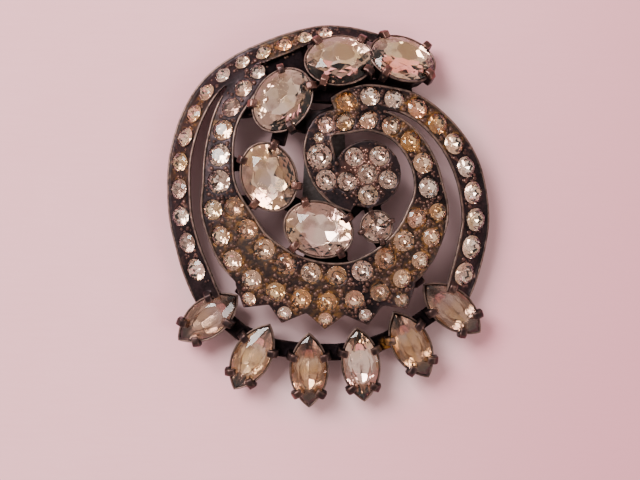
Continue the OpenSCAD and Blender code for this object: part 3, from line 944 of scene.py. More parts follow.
@dataclass(frozen=True)
class CutPlan:
    """The facets of a stone whose half length is 1.

    Attributes:
        cut: the shape.
        width: half width.
        crown: height over the girdle.
        pavilion: depth under it.
        table: size of the flat top over the whole.
        girdle: half the height of the upright edge.
        keel: half the length of the line that the back runs down to.
        mains: count of main facets in front.
        back_mains: count of main facets behind.
        culet: size of the ring of flatter facets behind over the whole, 0 for none.
        edges: count of sides of the outline.
        star_share: height of a star facet over that of a main one.
        upper_share: the same for the facets over the girdle.
        lower_share: the same for the facets under it.
        culet_shares: the same for the flatter facets, which take turns.
    """

    cut: Cut
    width: float
    crown: float
    pavilion: float
    table: float = 0.58
    girdle: float = 0.02
    keel: float = 0.0
    mains: int = 8
    back_mains: int = 8
    culet: float = 0.0
    edges: int = 32
    star_share: float = 0.58
    upper_share: float = 1.28
    lower_share: float = 1.1
    culet_shares: tuple[float, float] = (0.55, 0.8)

    def edge(self, turn: float) -> Vector:
        """Gives a point of the outline, turn running from 0 to 1.

        Args:
            turn: place along the outline.

        Returns:
            The point, at the girdle's height.
        """
        if self.cut is not Cut.NAVETTE:
            angle = math.tau * turn
            return Vector((math.cos(angle), self.width * math.sin(angle), 0.0))
        radius = (1 + self.width**2) / (2 * self.width)
        half = math.asin(1 / radius)
        turn %= 1.0
        share = 1 - 4 * turn if turn <= 0.5 else 4 * turn - 3
        side = 1 if turn <= 0.5 else -1
        angle = share * half
        bulge = radius * math.cos(angle) - radius + self.width
        return Vector((radius * math.sin(angle), side * bulge, 0.0))

    def chord(self, start: float, end: float) -> tuple[Vector, Vector]:
        """Gives a point and the outward direction of the chord between two turns.

        Args:
            start: turn at which it starts.
            end: turn at which it ends.

        Returns:
            Its middle and its outward direction.
        """
        first, last = self.edge(start), self.edge(end)
        way = last - first
        return (first + last) / 2, Vector((way.y, -way.x, 0.0)).normalized()

    def tangent(self, turn: float, step: float = 0.01) -> tuple[Vector, Vector]:
        """Gives a point of the outline and the outward direction there."""
        return self.edge(turn), self.chord(turn - step, turn + step)[1]

    def turns(self, mains: int, between: float = 0.0) -> list[float]:
        """Gives the turn of each main facet, or one between; a navette's main ones miss its points.

        Args:
            mains: count of the main facets.
            between: share of the way on to the next one.

        Returns:
            The turns.
        """
        step = 1 / mains
        shift = 0.5 * step if self.cut is Cut.NAVETTE else 0.0
        return [(k + between) * step + shift for k in range(mains)]

    def foot(self, spot: Vector, square: float = 0.05) -> Vector:
        """Gives the point of the keel that a facet of the back runs down to.

        Args:
            spot: point of the outline that the facet starts from.
            square: how near the stone's waist a facet runs straight in to its middle.

        Returns:
            The point, at the girdle's height.
        """
        return Vector((0.0 if abs(spot.x) < square else math.copysign(self.keel, spot.x), 0.0, 0.0))


@dataclass
class StoneCutter:
    """Cuts a stone from a block, one flat facet at a time."""

    plan: CutPlan
    block: float = 2.4
    shortest_edge: float = 0.004

    def build(self, name: str) -> bpy.types.Object:
        """Cuts the whole stone at half length 1, girdle at the origin.

        Args:
            name: the master's name.

        Returns:
            The cut stone, with its back in the second material slot.
        """
        deselect()
        bpy.ops.mesh.primitive_cube_add(size=self.block)
        stone = bpy.context.object
        stone.name = name
        bpy.ops.object.mode_set(mode="EDIT")
        self._girdle()
        self._crown()
        self._pavilion()
        bpy.ops.mesh.select_all(action="SELECT")
        bpy.ops.mesh.remove_doubles(threshold=self.shortest_edge)
        bpy.ops.mesh.normals_make_consistent(inside=False)
        bpy.ops.object.mode_set(mode="OBJECT")
        return stone

    def _facet(self, point: Vector, outward: Vector) -> None:
        """Grinds away all that lies beyond a plane and closes the cut.

        Args:
            point: a point of the plane.
            outward: the side that goes.
        """
        bpy.ops.mesh.select_all(action="SELECT")
        bpy.ops.mesh.bisect(plane_co=point, plane_no=outward, use_fill=True, clear_outer=True,
                            threshold=1e-5)

    def _girdle(self) -> None:
        """Cuts the upright outline."""
        step = 1 / self.plan.edges
        for k in range(self.plan.edges):
            self._facet(*self.plan.chord(k * step, (k + 1) * step))

    def _slope(self, middle: Vector, outward: Vector, level: float, fall: float, run: float,
               down: bool) -> None:
        """Cuts one sloping facet.

        Args:
            middle: point of the edge that the facet starts from.
            outward: its level outward direction.
            level: height of that edge.
            fall: height that the facet gains.
            run: level distance over which it gains it.
            down: true below the girdle.
        """
        rise = outward * fall + Vector((0.0, 0.0, -run if down else run))
        self._facet(Vector((middle.x, middle.y, level)), rise.normalized())

    def _crown(self) -> None:
        """Cuts the table, the main facets, the stars and the upper girdle facets."""
        plan = self.plan
        top, low = plan.crown, plan.girdle
        high = top - low
        inward = 1 - plan.table
        step = 1 / plan.mains
        self._facet(Vector((0.0, 0.0, top)), Vector((0.0, 0.0, 1.0)))
        for main in plan.turns(plan.mains):
            spot, outward = plan.tangent(main)
            self._slope(spot, outward, low, high, inward * spot.dot(outward), False)
        for main in plan.turns(plan.mains):
            middle, outward = plan.chord(main, main + step)
            run = inward * middle.dot(outward)
            self._slope(middle * plan.table, outward, top, high * plan.star_share, run, False)
            for start in (main, main + step / 2):
                middle, outward = plan.chord(start, start + step / 2)
                run = inward * middle.dot(outward)
                self._slope(middle, outward, low, high * plan.upper_share, run, False)

    def _pavilion(self) -> None:
        """Cuts the facets below the girdle down to the keel."""
        plan = self.plan
        low = -plan.girdle
        deep = plan.pavilion - plan.girdle
        step = 1 / plan.back_mains
        for main in plan.turns(plan.back_mains):
            spot, outward = plan.tangent(main)
            self._slope(spot, outward, low, deep, (spot - plan.foot(spot)).dot(outward), True)
            for start in (main, main + step / 2):
                middle, outward = plan.chord(start, start + step / 2)
                run = (middle - plan.foot(middle, 0.0)).dot(outward)
                self._slope(middle, outward, low, deep * plan.lower_share, run, True)
        if plan.culet:
            self._culet(low, deep)

    def _culet(self, low: float, deep: float) -> None:
        """Breaks the deepest part of the back into a ring of flatter facets.

        Args:
            low: height of the girdle's lower edge.
            deep: depth of the back below it.
        """
        plan = self.plan
        level = low - deep * (1 - plan.culet)
        for k, turn in enumerate(plan.turns(plan.back_mains, 0.5)):
            spot, outward = plan.tangent(turn)
            foot = plan.foot(spot)
            ledge = foot.lerp(spot, plan.culet)
            fall = deep * plan.culet * plan.culet_shares[k % 2]
            self._slope(ledge, outward, level, fall, (ledge - foot).dot(outward), True)


LARGE_TONES = {
    "oval_stone_1": 0.20, "oval_stone_2": 0.44, "oval_stone_3": 0.22, "oval_stone_4": 0.50,
    "oval_stone_5": 0.50, "navette_stone_1": 0.0, "navette_stone_2": 0.14, "navette_stone_3": 0.08,
    "navette_stone_4": 0.19, "navette_stone_5": 0.06, "navette_stone_6": 0.0, "round_stone": 0.78,
}
"""How clear each large stone still is, on the scale that Stones._clearness gives."""


BUTTON = Vector((5.7 * MM, 6.4 * MM, 0.0))
"""Middle of the round button."""


CLEAR_SPOTS = (
    (Vector((-1.5 * MM, 8.8 * MM, 0.0)), 5.0 * MM),
    (BUTTON, 4.5 * MM),
    (Vector((-17.5 * MM, 8.5 * MM, 0.0)), 3.5 * MM),
    (Vector((19.0 * MM, -5.0 * MM, 0.0)), 3.5 * MM),
)
"""Places whose small stones have all stayed clear, each with its reach."""


@dataclass(frozen=True)
class BackCut:
    """How the back of a cut is shaped: see CutPlan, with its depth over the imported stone's."""

    keel: float = 0.0
    depth: float = 1.0
    mains: int = 8
    culet: float = 0.0


BACK_CUTS = {
    Cut.ROUND: BackCut(),
    Cut.OVAL: BackCut(keel=0.2, depth=0.70, mains=10, culet=0.50),
    Cut.NAVETTE: BackCut(keel=0.3, mains=12, culet=0.42),
}

# Least clearness of a small stone in a clear spot, and how far it ranges above that
CLEAR_FROM = 0.42
CLEAR_SPAN = 0.4
# A face that looks up by less than this is of the foiled back
FOIL_BELOW = 0.1
# Where the edge of a stone begins to stain, and over what share of its size
RIM_FROM = 0.5
RIM_SPAN = 0.3


@dataclass
class Stones:
    """All the cut stones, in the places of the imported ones.

    Attributes:
        glass: finish of the small stones.
        large_glass: finish of the large ones.
        foil: finish of their backs.
        seed: of their chance.
        wobble: spread of the small stones' tilts, in radians.
        large_wobble: that of the large ones over it.
        masters: one cut stone for each shape.
        places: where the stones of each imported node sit.
    """

    glass: bpy.types.Material
    large_glass: bpy.types.Material
    foil: bpy.types.Material
    seed: int = 7
    wobble: float = math.radians(2.2)
    large_wobble: float = 0.6
    masters: dict[Cut, bpy.types.Object] = field(default_factory=dict)
    places: dict[str, list[StonePlace]] = field(default_factory=dict)

    def read(self, nodes: dict[str, bpy.types.Object]) -> None:
        """Reads every stone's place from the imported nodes.

        Args:
            nodes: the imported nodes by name.
        """
        for name, node in sorted(nodes.items()):
            if "stone" in name:
                self.places[name] = [read_stone(corners) for corners in loose_parts(node.data)]

    @property
    def small(self) -> list[StonePlace]:
        """Every small stone's place."""
        return [p for name, places in self.places.items() if name.endswith("_stones") for p in places]

    @property
    def large(self) -> dict[str, StonePlace]:
        """Every large stone's place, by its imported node."""
        return {name: places[0] for name, places in self.places.items() if not name.endswith("_stones")}

    def cut_of(self, name: str) -> Cut:
        """Tells which cut the stones of a node have.

        Args:
            name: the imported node.

        Returns:
            The cut.
        """
        if name.startswith("oval"):
            return Cut.OVAL
        return Cut.NAVETTE if name.startswith("navette") else Cut.ROUND

    def plan(self, cut: Cut, place: StonePlace) -> CutPlan:
        """Gives the facets of a shape, from one packed stone's measures.

        Args:
            cut: the shape.
            place: a packed stone of that shape.

        Returns:
            The plan of its facets.
        """
        half = place.half_length
        width = 1.0 if cut is Cut.ROUND else place.half_width / half
        back = BACK_CUTS[cut]
        return CutPlan(cut, width, place.crown / half, back.depth * place.pavilion / half,
                       keel=back.keel, back_mains=back.mains, culet=back.culet)

    def _master(self, cut: Cut, place: StonePlace) -> bpy.types.Object:
        """Cuts the master of a shape from one packed stone's measures, once.

        Args:
            cut: the shape.
            place: a packed stone of that shape.

        Returns:
            The master.
        """
        if cut not in self.masters:
            plan = self.plan(cut, place)
            stone = StoneCutter(plan).build("cut_" + cut.value)
            stone.data.materials.append(self.glass if cut is Cut.ROUND else self.large_glass)
            stone.data.materials.append(self.foil)
            rim = []
            for face in stone.data.polygons:
                face.material_index = 1 if face.normal.z < FOIL_BELOW else 0
                reach = math.hypot(face.center.x, face.center.y / plan.width)
                rim.append(min(1.0, max(0.0, (reach - RIM_FROM) / RIM_SPAN)))
            mark(stone, "rim", rim, "FACE")
            self.masters[cut] = stone
        return self.masters[cut]

    def build(self) -> None:
        """Sets a cut stone in every place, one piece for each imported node."""
        rng = random.Random(self.seed)
        for name, places in self.places.items():
            cut = self.cut_of(name)
            master = self._master(cut, places[0])
            round_cut = cut is Cut.ROUND
            most = self.wobble if round_cut else self.large_wobble * self.wobble
            matrices = []
            for place in places:
                spin = rng.uniform(0, math.tau) if round_cut else 0.0
                lean = (rng.gauss(0, most), rng.gauss(0, most))
                matrices.append(place.matrix(spin, lean))
            piece = join_copies(master, matrices, name + "_cut")
            self._tone(piece, [self._clearness(name, place, rng) for place in places])
            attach(piece, ROOT)
            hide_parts(name)
            LOG.info("%s: %d stone(s)", piece.name, len(places))
        for master in self.masters.values():
            remove(master)

    def _clearness(self, name: str, place: StonePlace, rng: random.Random) -> float:
        """Tells how clear a stone still is: 0 clouded, 0.3 to 0.8 clear, 1 yellowed.

        Args:
            name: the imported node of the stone.
            place: where the stone sits.
            rng: seeded chance for the small stones.

        Returns:
            The tone of the stone.
        """
        value = rng.random()
        if name in LARGE_TONES:
            return LARGE_TONES[name]
        if any((place.centre - spot).xy.length < reach for spot, reach in CLEAR_SPOTS):
            return CLEAR_FROM + CLEAR_SPAN * value
        return value

    def _tone(self, piece: bpy.types.Object, values: list[float]) -> None:
        """Gives each stone of a piece its own tone, kept as a number of its faces."""
        faces = len(piece.data.polygons) // len(values)
        mark(piece, "tone", [value for value in values for _ in range(faces)], "FACE")


# Metal


@dataclass(frozen=True)
class Dome:
    """The domed surface that the bands follow.

    Attributes:
        width: the clip's width.
        height: the clip's height.
        top: height of the crown.
        fall: how far the rim lies below it.
        power: how late the fall sets in.
        side: from the middle to the rim along X, over the width.
        centre: place of the crown along Y, over the height.
        up: from there to the rim at the top, over the height.
        down: the same at the bottom.
        end: how far out the fall goes on, over the way to the rim.
    """

    width: float = 48.6 * MM
    height: float = 57.8 * MM
    top: float = 8.8 * MM
    fall: float = 6.3 * MM
    power: float = 4.5
    side: float = 0.515
    centre: float = 0.045
    up: float = 0.467
    down: float = 0.502
    end: float = 1.03

    def level(self, x: float, y: float) -> float:
        """Gives the height of the dome at a place.

        Args:
            x: place along X.
            y: place along Y.

        Returns:
            The height.
        """
        rise = y - self.centre * self.height
        half = (self.up if rise > 0 else self.down) * self.height
        share = math.hypot(x / (self.side * self.width), rise / half)
        return self.top - self.fall * min(share, self.end) ** self.power

    def slope(self, x: float, y: float, step: float = 0.05 * MM) -> Vector:
        """Gives the dome's rise along X and along Y at a place."""
        return Vector((self.level(x + step, y) - self.level(x - step, y),
                       self.level(x, y + step) - self.level(x, y - step), 0.0)) / (2 * step)


@dataclass(frozen=True)
class Band:
    """A cast band.

    Attributes:
        name: the band's name.
        rows: its middle line, each row x over the clip's width, y over its height, and the band's
            width over full_width.
        full_width: the width that a share of 1 stands for.
    """

    name: str
    rows: tuple[tuple[float, float, float], ...]
    full_width: float = 5.0 * MM

    def row(self, turn: float) -> Vector:
        """Gives the smooth line through the rows at a place counted in rows.

        Args:
            turn: place along the band, counted in rows.

        Returns:
            The x, y and width there, in shares.
        """
        k = max(0, min(int(turn), len(self.rows) - 2))
        part = turn - k
        last = len(self.rows) - 1
        a, b, c, d = (Vector(self.rows[max(0, min(last, k + j))]) for j in (-1, 0, 1, 2))
        return 0.5 * (2 * b + (c - a) * part + (2 * a - 5 * b + 4 * c - d) * part**2
                      + (3 * b - a - 3 * c + d) * part**3)

    def middle(self, dome: Dome, turn: float) -> Vector:
        """Gives the middle of the band at a place, seen from above."""
        row = self.row(turn)
        return Vector((row.x * dome.width, row.y * dome.height, 0.0))

    def edge(self, dome: Dome, turn: float, side: int, inset: float) -> Vector:
        """Gives a point beside the band's edge, on the dome.

        Args:
            dome: the surface that the band follows.
            turn: place along the band, counted in rows.
            side: 1 or -1 for the left or right edge, 0 for the middle.
            inset: distance in from that edge.

        Returns:
            The point.
        """
        middle = self.middle(dome, turn)
        near = 0.02
        along = (self.middle(dome, turn + near) - self.middle(dome, turn - near)).normalized()
        across = Vector((-along.y, along.x, 0.0))
        half = self.row(turn).z * self.full_width / 2
        shorter = 1 / math.hypot(1, dome.slope(middle.x, middle.y).dot(across))
        spot = middle + across * side * (half - inset) * shorter
        spot.z = dome.level(spot.x, spot.y)
        return spot


OUTER_BAND = Band("outer", (
    (-0.372, -0.218, 0.98), (-0.412, -0.136, 1.00), (-0.436, -0.077, 0.93), (-0.458, -0.004, 0.92),
    (-0.465, 0.071, 0.93), (-0.463, 0.142, 0.93), (-0.448, 0.206, 0.93), (-0.424, 0.264, 0.94),
    (-0.387, 0.321, 0.92), (-0.340, 0.366, 0.86), (-0.275, 0.404, 0.79), (-0.204, 0.430, 0.80),
    (-0.133, 0.453, 0.78), (-0.071, 0.472, 0.66), (-0.012, 0.483, 0.58), (0.056, 0.484, 0.46),
    (0.117, 0.476, 0.38), (0.176, 0.461, 0.36)))
SWIRL_BAND = Band("swirl", (
    (-0.214, 0.385, 0.84), (-0.265, 0.336, 1.00), (-0.309, 0.274, 0.90), (-0.330, 0.217, 0.88),
    (-0.339, 0.155, 0.96), (-0.339, 0.092, 1.04), (-0.327, 0.027, 1.40), (-0.296, -0.033, 1.60),
    (-0.256, -0.090, 1.70), (-0.191, -0.136, 1.72), (-0.111, -0.166, 1.62), (-0.012, -0.182, 1.54),
    (0.080, -0.177, 1.52), (0.164, -0.149, 1.55), (0.235, -0.103, 1.52), (0.281, -0.045, 1.40),
    (0.306, 0.017, 1.26), (0.307, 0.077, 0.92), (0.290, 0.139, 0.80), (0.247, 0.199, 0.74),
    (0.189, 0.237, 0.72), (0.117, 0.253, 0.72), (0.049, 0.247, 0.75), (-0.009, 0.239, 0.76),
    (-0.032, 0.205, 0.78), (-0.030, 0.158, 0.94), (-0.009, 0.095, 0.80), (0.028, 0.050, 0.55),
    (0.077, 0.030, 0.45)))
RIGHT_BAND = Band("right", (
    (0.012, 0.287, 0.50), (0.052, 0.298, 0.72), (0.114, 0.313, 0.72), (0.185, 0.308, 0.72),
    (0.253, 0.292, 0.78), (0.318, 0.256, 0.82), (0.380, 0.199, 0.92), (0.423, 0.134, 1.02),
    (0.446, 0.064, 1.04), (0.454, -0.009, 1.06), (0.441, -0.079, 1.08), (0.420, -0.147, 1.08),
    (0.398, -0.205, 1.00)))


BUTTON_REACH = 4.3 * MM
DROPS = ((Vector((8.8 * MM, -19.2 * MM, 0.0)), 1.5 * MM), (Vector((-0.2 * MM, -15.0 * MM, 0.0)), 1.6 * MM))
"""Where the stain has dried in thick drops, each with its reach."""


def mask_rings(piece: bpy.types.Object, small: list[StonePlace], reach: float = 0.42 * MM) -> None:
    """Marks how close each corner of a piece lies to the edge of a small stone.

    Args:
        piece: the piece to mark.
        small: the small stones.
        reach: how far from a stone the mark fades out.
    """
    corners = corners_of(piece.data)
    mask = np.zeros(len(corners))
    for place in small:
        away = corners - np.array(place.centre)
        near = np.flatnonzero(np.abs(away).max(axis=1) < place.half_length + 2 * reach)
        beyond = np.linalg.norm(away[near], axis=1) - place.half_length
        mask[near] = np.maximum(mask[near], np.clip(1 - beyond / reach, 0, 1))
    for spot, width in DROPS:
        beyond = np.hypot(corners[:, 0] - spot.x, corners[:, 1] - spot.y)
        mask = np.maximum(mask, np.clip(2 * (1 - beyond / width), 0, 1))
    mark(piece, "ring", mask)


@dataclass
class CastFrame:
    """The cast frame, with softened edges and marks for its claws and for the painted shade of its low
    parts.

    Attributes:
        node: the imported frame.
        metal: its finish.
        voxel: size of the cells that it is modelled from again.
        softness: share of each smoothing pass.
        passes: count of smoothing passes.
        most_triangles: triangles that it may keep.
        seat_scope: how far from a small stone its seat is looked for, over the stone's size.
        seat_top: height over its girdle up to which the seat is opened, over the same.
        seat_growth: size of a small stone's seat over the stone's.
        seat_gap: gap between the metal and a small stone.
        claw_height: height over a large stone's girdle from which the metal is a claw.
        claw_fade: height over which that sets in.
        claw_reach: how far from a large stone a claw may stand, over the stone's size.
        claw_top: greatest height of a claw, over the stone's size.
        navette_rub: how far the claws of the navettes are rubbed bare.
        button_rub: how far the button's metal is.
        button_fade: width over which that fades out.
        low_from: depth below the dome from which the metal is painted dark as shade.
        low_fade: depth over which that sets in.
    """

    node: bpy.types.Object
    metal: bpy.types.Material
    voxel: float = 0.17 * MM
    softness: float = 0.6
    passes: int = 3
    most_triangles: int = 185000
    seat_scope: float = 1.3
    seat_top: float = 0.02
    seat_growth: float = 1.05
    seat_gap: float = 0.03 * MM
    claw_height: float = 0.3 * MM
    claw_fade: float = 0.3 * MM
    claw_reach: float = 1.35
    claw_top: float = 0.6
    navette_rub: float = 0.2
    button_rub: float = 0.5
    button_fade: float = 0.5 * MM
    low_from: float = 0.4 * MM
    low_fade: float = 0.45 * MM

    def build(self, stones: Stones) -> bpy.types.Object:
        """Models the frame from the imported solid.

        Args:
            stones: the stones, whose claws are masked.

        Returns:
            The finished frame.
        """
        frame = copy_packed(self.node, "cast_frame")
        bpy.ops.object.mode_set(mode="OBJECT")
        apply_modifier(frame, "REMESH", mode="VOXEL", voxel_size=self.voxel)
        apply_modifier(frame, "SMOOTH", factor=self.softness, iterations=self.passes)
        self._open_seats(frame, stones)
        triangles = sum(len(face.vertices) - 2 for face in frame.data.polygons)
        if triangles > self.most_triangles:
            apply_modifier(frame, "DECIMATE", ratio=self.most_triangles / triangles)
        activate(frame)
        bpy.ops.object.shade_smooth()
        refinish(frame, self.metal)
        mask_rings(frame, stones.small)
        self._mask_claws(frame, stones)
        self._mask_painted_shade(frame, Dome())
        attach(frame, ROOT)
        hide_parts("frame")
        LOG.info("%s: %d faces", frame.name, len(frame.data.polygons))
        return frame

    def _open_seats(self, frame: bpy.types.Object, stones: Stones) -> None:
        """Presses the metal back wherever it would stand inside a small stone.

        Args:
            frame: the softened frame.
            stones: the stones, whose backs are cones of about half_length by pavilion.
        """
        corners = corners_of(frame.data)
        for place in stones.small:
            axis, centre = np.array(place.axis), np.array(place.centre)
            from_centre = corners - centre
            near = np.flatnonzero(np.abs(from_centre).max(axis=1) < self.seat_scope * place.half_length)
            depth = from_centre[near] @ axis
            flat = from_centre[near] - np.outer(depth, axis)
            reach = np.linalg.norm(flat, axis=1) + 1e-9
            wide, deep = self.seat_growth * place.half_length, self.seat_growth * place.pavilion
            outward = np.array([deep, -wide]) / math.hypot(deep, wide)
            inside = self.seat_gap - ((reach - wide) * outward[0] + depth * outward[1])
            move = np.where((inside > 0) & (depth < self.seat_top * place.half_length), inside, 0.0)
            corners[near] += flat / reach[:, None] * (move * outward[0])[:, None]
            corners[near] += np.outer(move * outward[1], axis)
        frame.data.vertices.foreach_set("co", corners.reshape(-1))
        frame.data.update()

    def _mask_claws(self, frame: bpy.types.Object, stones: Stones) -> None:
        """Marks the corners that stand over the girdle of a large stone, and the button's.

        Args:
            frame: the cast frame.
            stones: the stones.
        """
        corners = corners_of(frame.data)
        count = len(corners)
        corners = np.hstack([corners, np.ones((count, 1))])
        mask = np.zeros(count)
        for name, place in stones.large.items():
            local = corners @ np.array(place.matrix().inverted()).T
            reach = np.hypot(local[:, 0], local[:, 1] * place.half_length / place.half_width)
            over = (local[:, 2] * place.half_length - self.claw_height) / self.claw_fade
            near = reach < self.claw_reach
            rubbed = self.navette_rub if name.startswith("navette") else 1.0
            mask = np.maximum(mask, rubbed * np.clip(over, 0, 1) * near * (local[:, 2] < self.claw_top))
        reach = np.hypot(corners[:, 0] - BUTTON.x, corners[:, 1] - BUTTON.y)
        inside = np.clip((BUTTON_REACH - reach) / self.button_fade, 0, 1)
        mark(frame, "claw", np.maximum(mask, self.button_rub * inside))

    def _mask_painted_shade(self, frame: bpy.types.Object, dome: Dome) -> None:
        """Marks the metal that lies well below the dome, which its finish paints dark as the shade that
        falls there.
        """
        depths = [dome.level(corner.co.x, corner.co.y) - corner.co.z for corner in frame.data.vertices]
        mark(frame, "low", np.clip((np.array(depths) - self.low_from) / self.low_fade, 0, 1))


@dataclass(frozen=True)
class RimRun:
    """A stretch of raised rim along one side of a band."""

    band: Band
    side: int
    first: float
    last: float


RIM_RUNS = (
    RimRun(OUTER_BAND, 1, 0.1, 16.8),
    RimRun(OUTER_BAND, -1, 0.1, 8.4),
    RimRun(SWIRL_BAND, 1, 0.7, 25.0),
    RimRun(SWIRL_BAND, -1, 1.6, 8.2),
    RimRun(SWIRL_BAND, -1, 15.4, 20.4),
    RimRun(SWIRL_BAND, -1, 24.0, 27.9),
    RimRun(RIGHT_BAND, 1, 1.6, 11.9),
    RimRun(RIGHT_BAND, -1, 3.6, 11.9),
)


# Thickness of an open wire's end over the full one, and what it gains with each further point
WIRE_END = 0.35
WIRE_GAIN = 0.2


def wire_tube(name: str, points: list[Vector], radius: float, closed: bool = False) -> bpy.types.Object:
    """Draws a round wire along points and makes it a mesh.

    Args:
        name: the wire's name.
        points: the line that it follows.
        radius: its radius; an open wire thins out at its ends.
        closed: true for a ring.

    Returns:
        The wire.
    """
    curve = bpy.data.curves.new(name, "CURVE")
    curve.dimensions = "3D"
    curve.bevel_depth = radius
    curve.bevel_resolution = 1
    curve.use_fill_caps = True
    spline = curve.splines.new("POLY")
    spline.points.add(len(points) - 1)
    for k, point in enumerate(points):
        spline.points[k].co = (*point, 1.0)
        ends = min(k, len(points) - 1 - k)
        spline.points[k].radius = 1.0 if closed else min(1.0, WIRE_END + WIRE_GAIN * ends)
    spline.use_cyclic_u = closed
    wire = bpy.data.objects.new(name, curve)
    bpy.context.scene.collection.objects.link(wire)
    activate(wire)
    bpy.ops.object.convert(target="MESH")
    bpy.ops.object.shade_smooth()
    return bpy.context.object


@dataclass
class Rims:
    """The raised rims along the bands and round the mouths of the collets.

    Attributes:
        metal: their finish.
        dome: the surface that the bands follow.
        radius: of a band's rim.
        inset: from the band's edge to the middle of its rim.
        rise: from the dome to the middle of the rim.
        step: from one point of a rim to the next, counted in rows of the band.
        collet_radius: of a collet's rim.
        collet_grow: from the stone's edge out to the middle of that rim.
        collet_drop: from the stone's girdle down to it.
        collet_points: count of its points.
    """

    metal: bpy.types.Material
    dome: Dome = Dome()
    radius: float = 0.19 * MM
    inset: float = 0.17 * MM
    rise: float = 0.10 * MM
    step: float = 0.09
    collet_radius: float = 0.13 * MM
    collet_grow: float = 0.21 * MM
    collet_drop: float = 0.10 * MM
    collet_points: int = 60

    def build(self, stones: Stones) -> None:
        """Draws every rim.

        Args:
            stones: the stones, whose outlines the collets' mouths follow.
        """
        runs = []
        for run in RIM_RUNS:
            count = int((run.last - run.first) / self.step)
            points = []
            for k in range(count + 1):
                turn = run.first + (run.last - run.first) * k / count
                spot = run.band.edge(self.dome, turn, run.side, self.inset)
                points.append(spot + Vector((0.0, 0.0, self.rise)))
            runs.append(wire_tube("rim", points, self.radius))
        self._dress(join_all(runs, "band_rims"))
        mouths = [self._mouth(stones, name, place) for name, place in stones.large.items()]
        self._dress(join_all(mouths, "collet_rims"))

    def _mouth(self, stones: Stones, name: str, place: StonePlace) -> bpy.types.Object:
        """Draws the rim of one collet, a little outside and below its stone's edge.

        Args:
            stones: the stones.
            name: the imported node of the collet's stone.
            place: where that stone sits.

        Returns:
            The rim.
        """
        plan = stones.plan(stones.cut_of(name), place)
        grow = 1 + self.collet_grow / place.half_width
        matrix = place.matrix()
        points = []
        for k in range(self.collet_points):
            spot = plan.edge(k / self.collet_points) * grow
            spot.z = -self.collet_drop / place.half_length
            points.append(matrix @ spot)
        return wire_tube("mouth", points, self.collet_radius, closed=True)

    def _dress(self, piece: bpy.types.Object) -> None:
        """Gives a rim its metal and its place in the model.

        Args:
            piece: the rim.
        """
        refinish(piece, self.metal)
        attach(piece, ROOT)
        LOG.info("%s: %d faces", piece.name, len(piece.data.polygons))


Seat = tuple[Vector, Vector]
"""A point on the metal and its normal."""


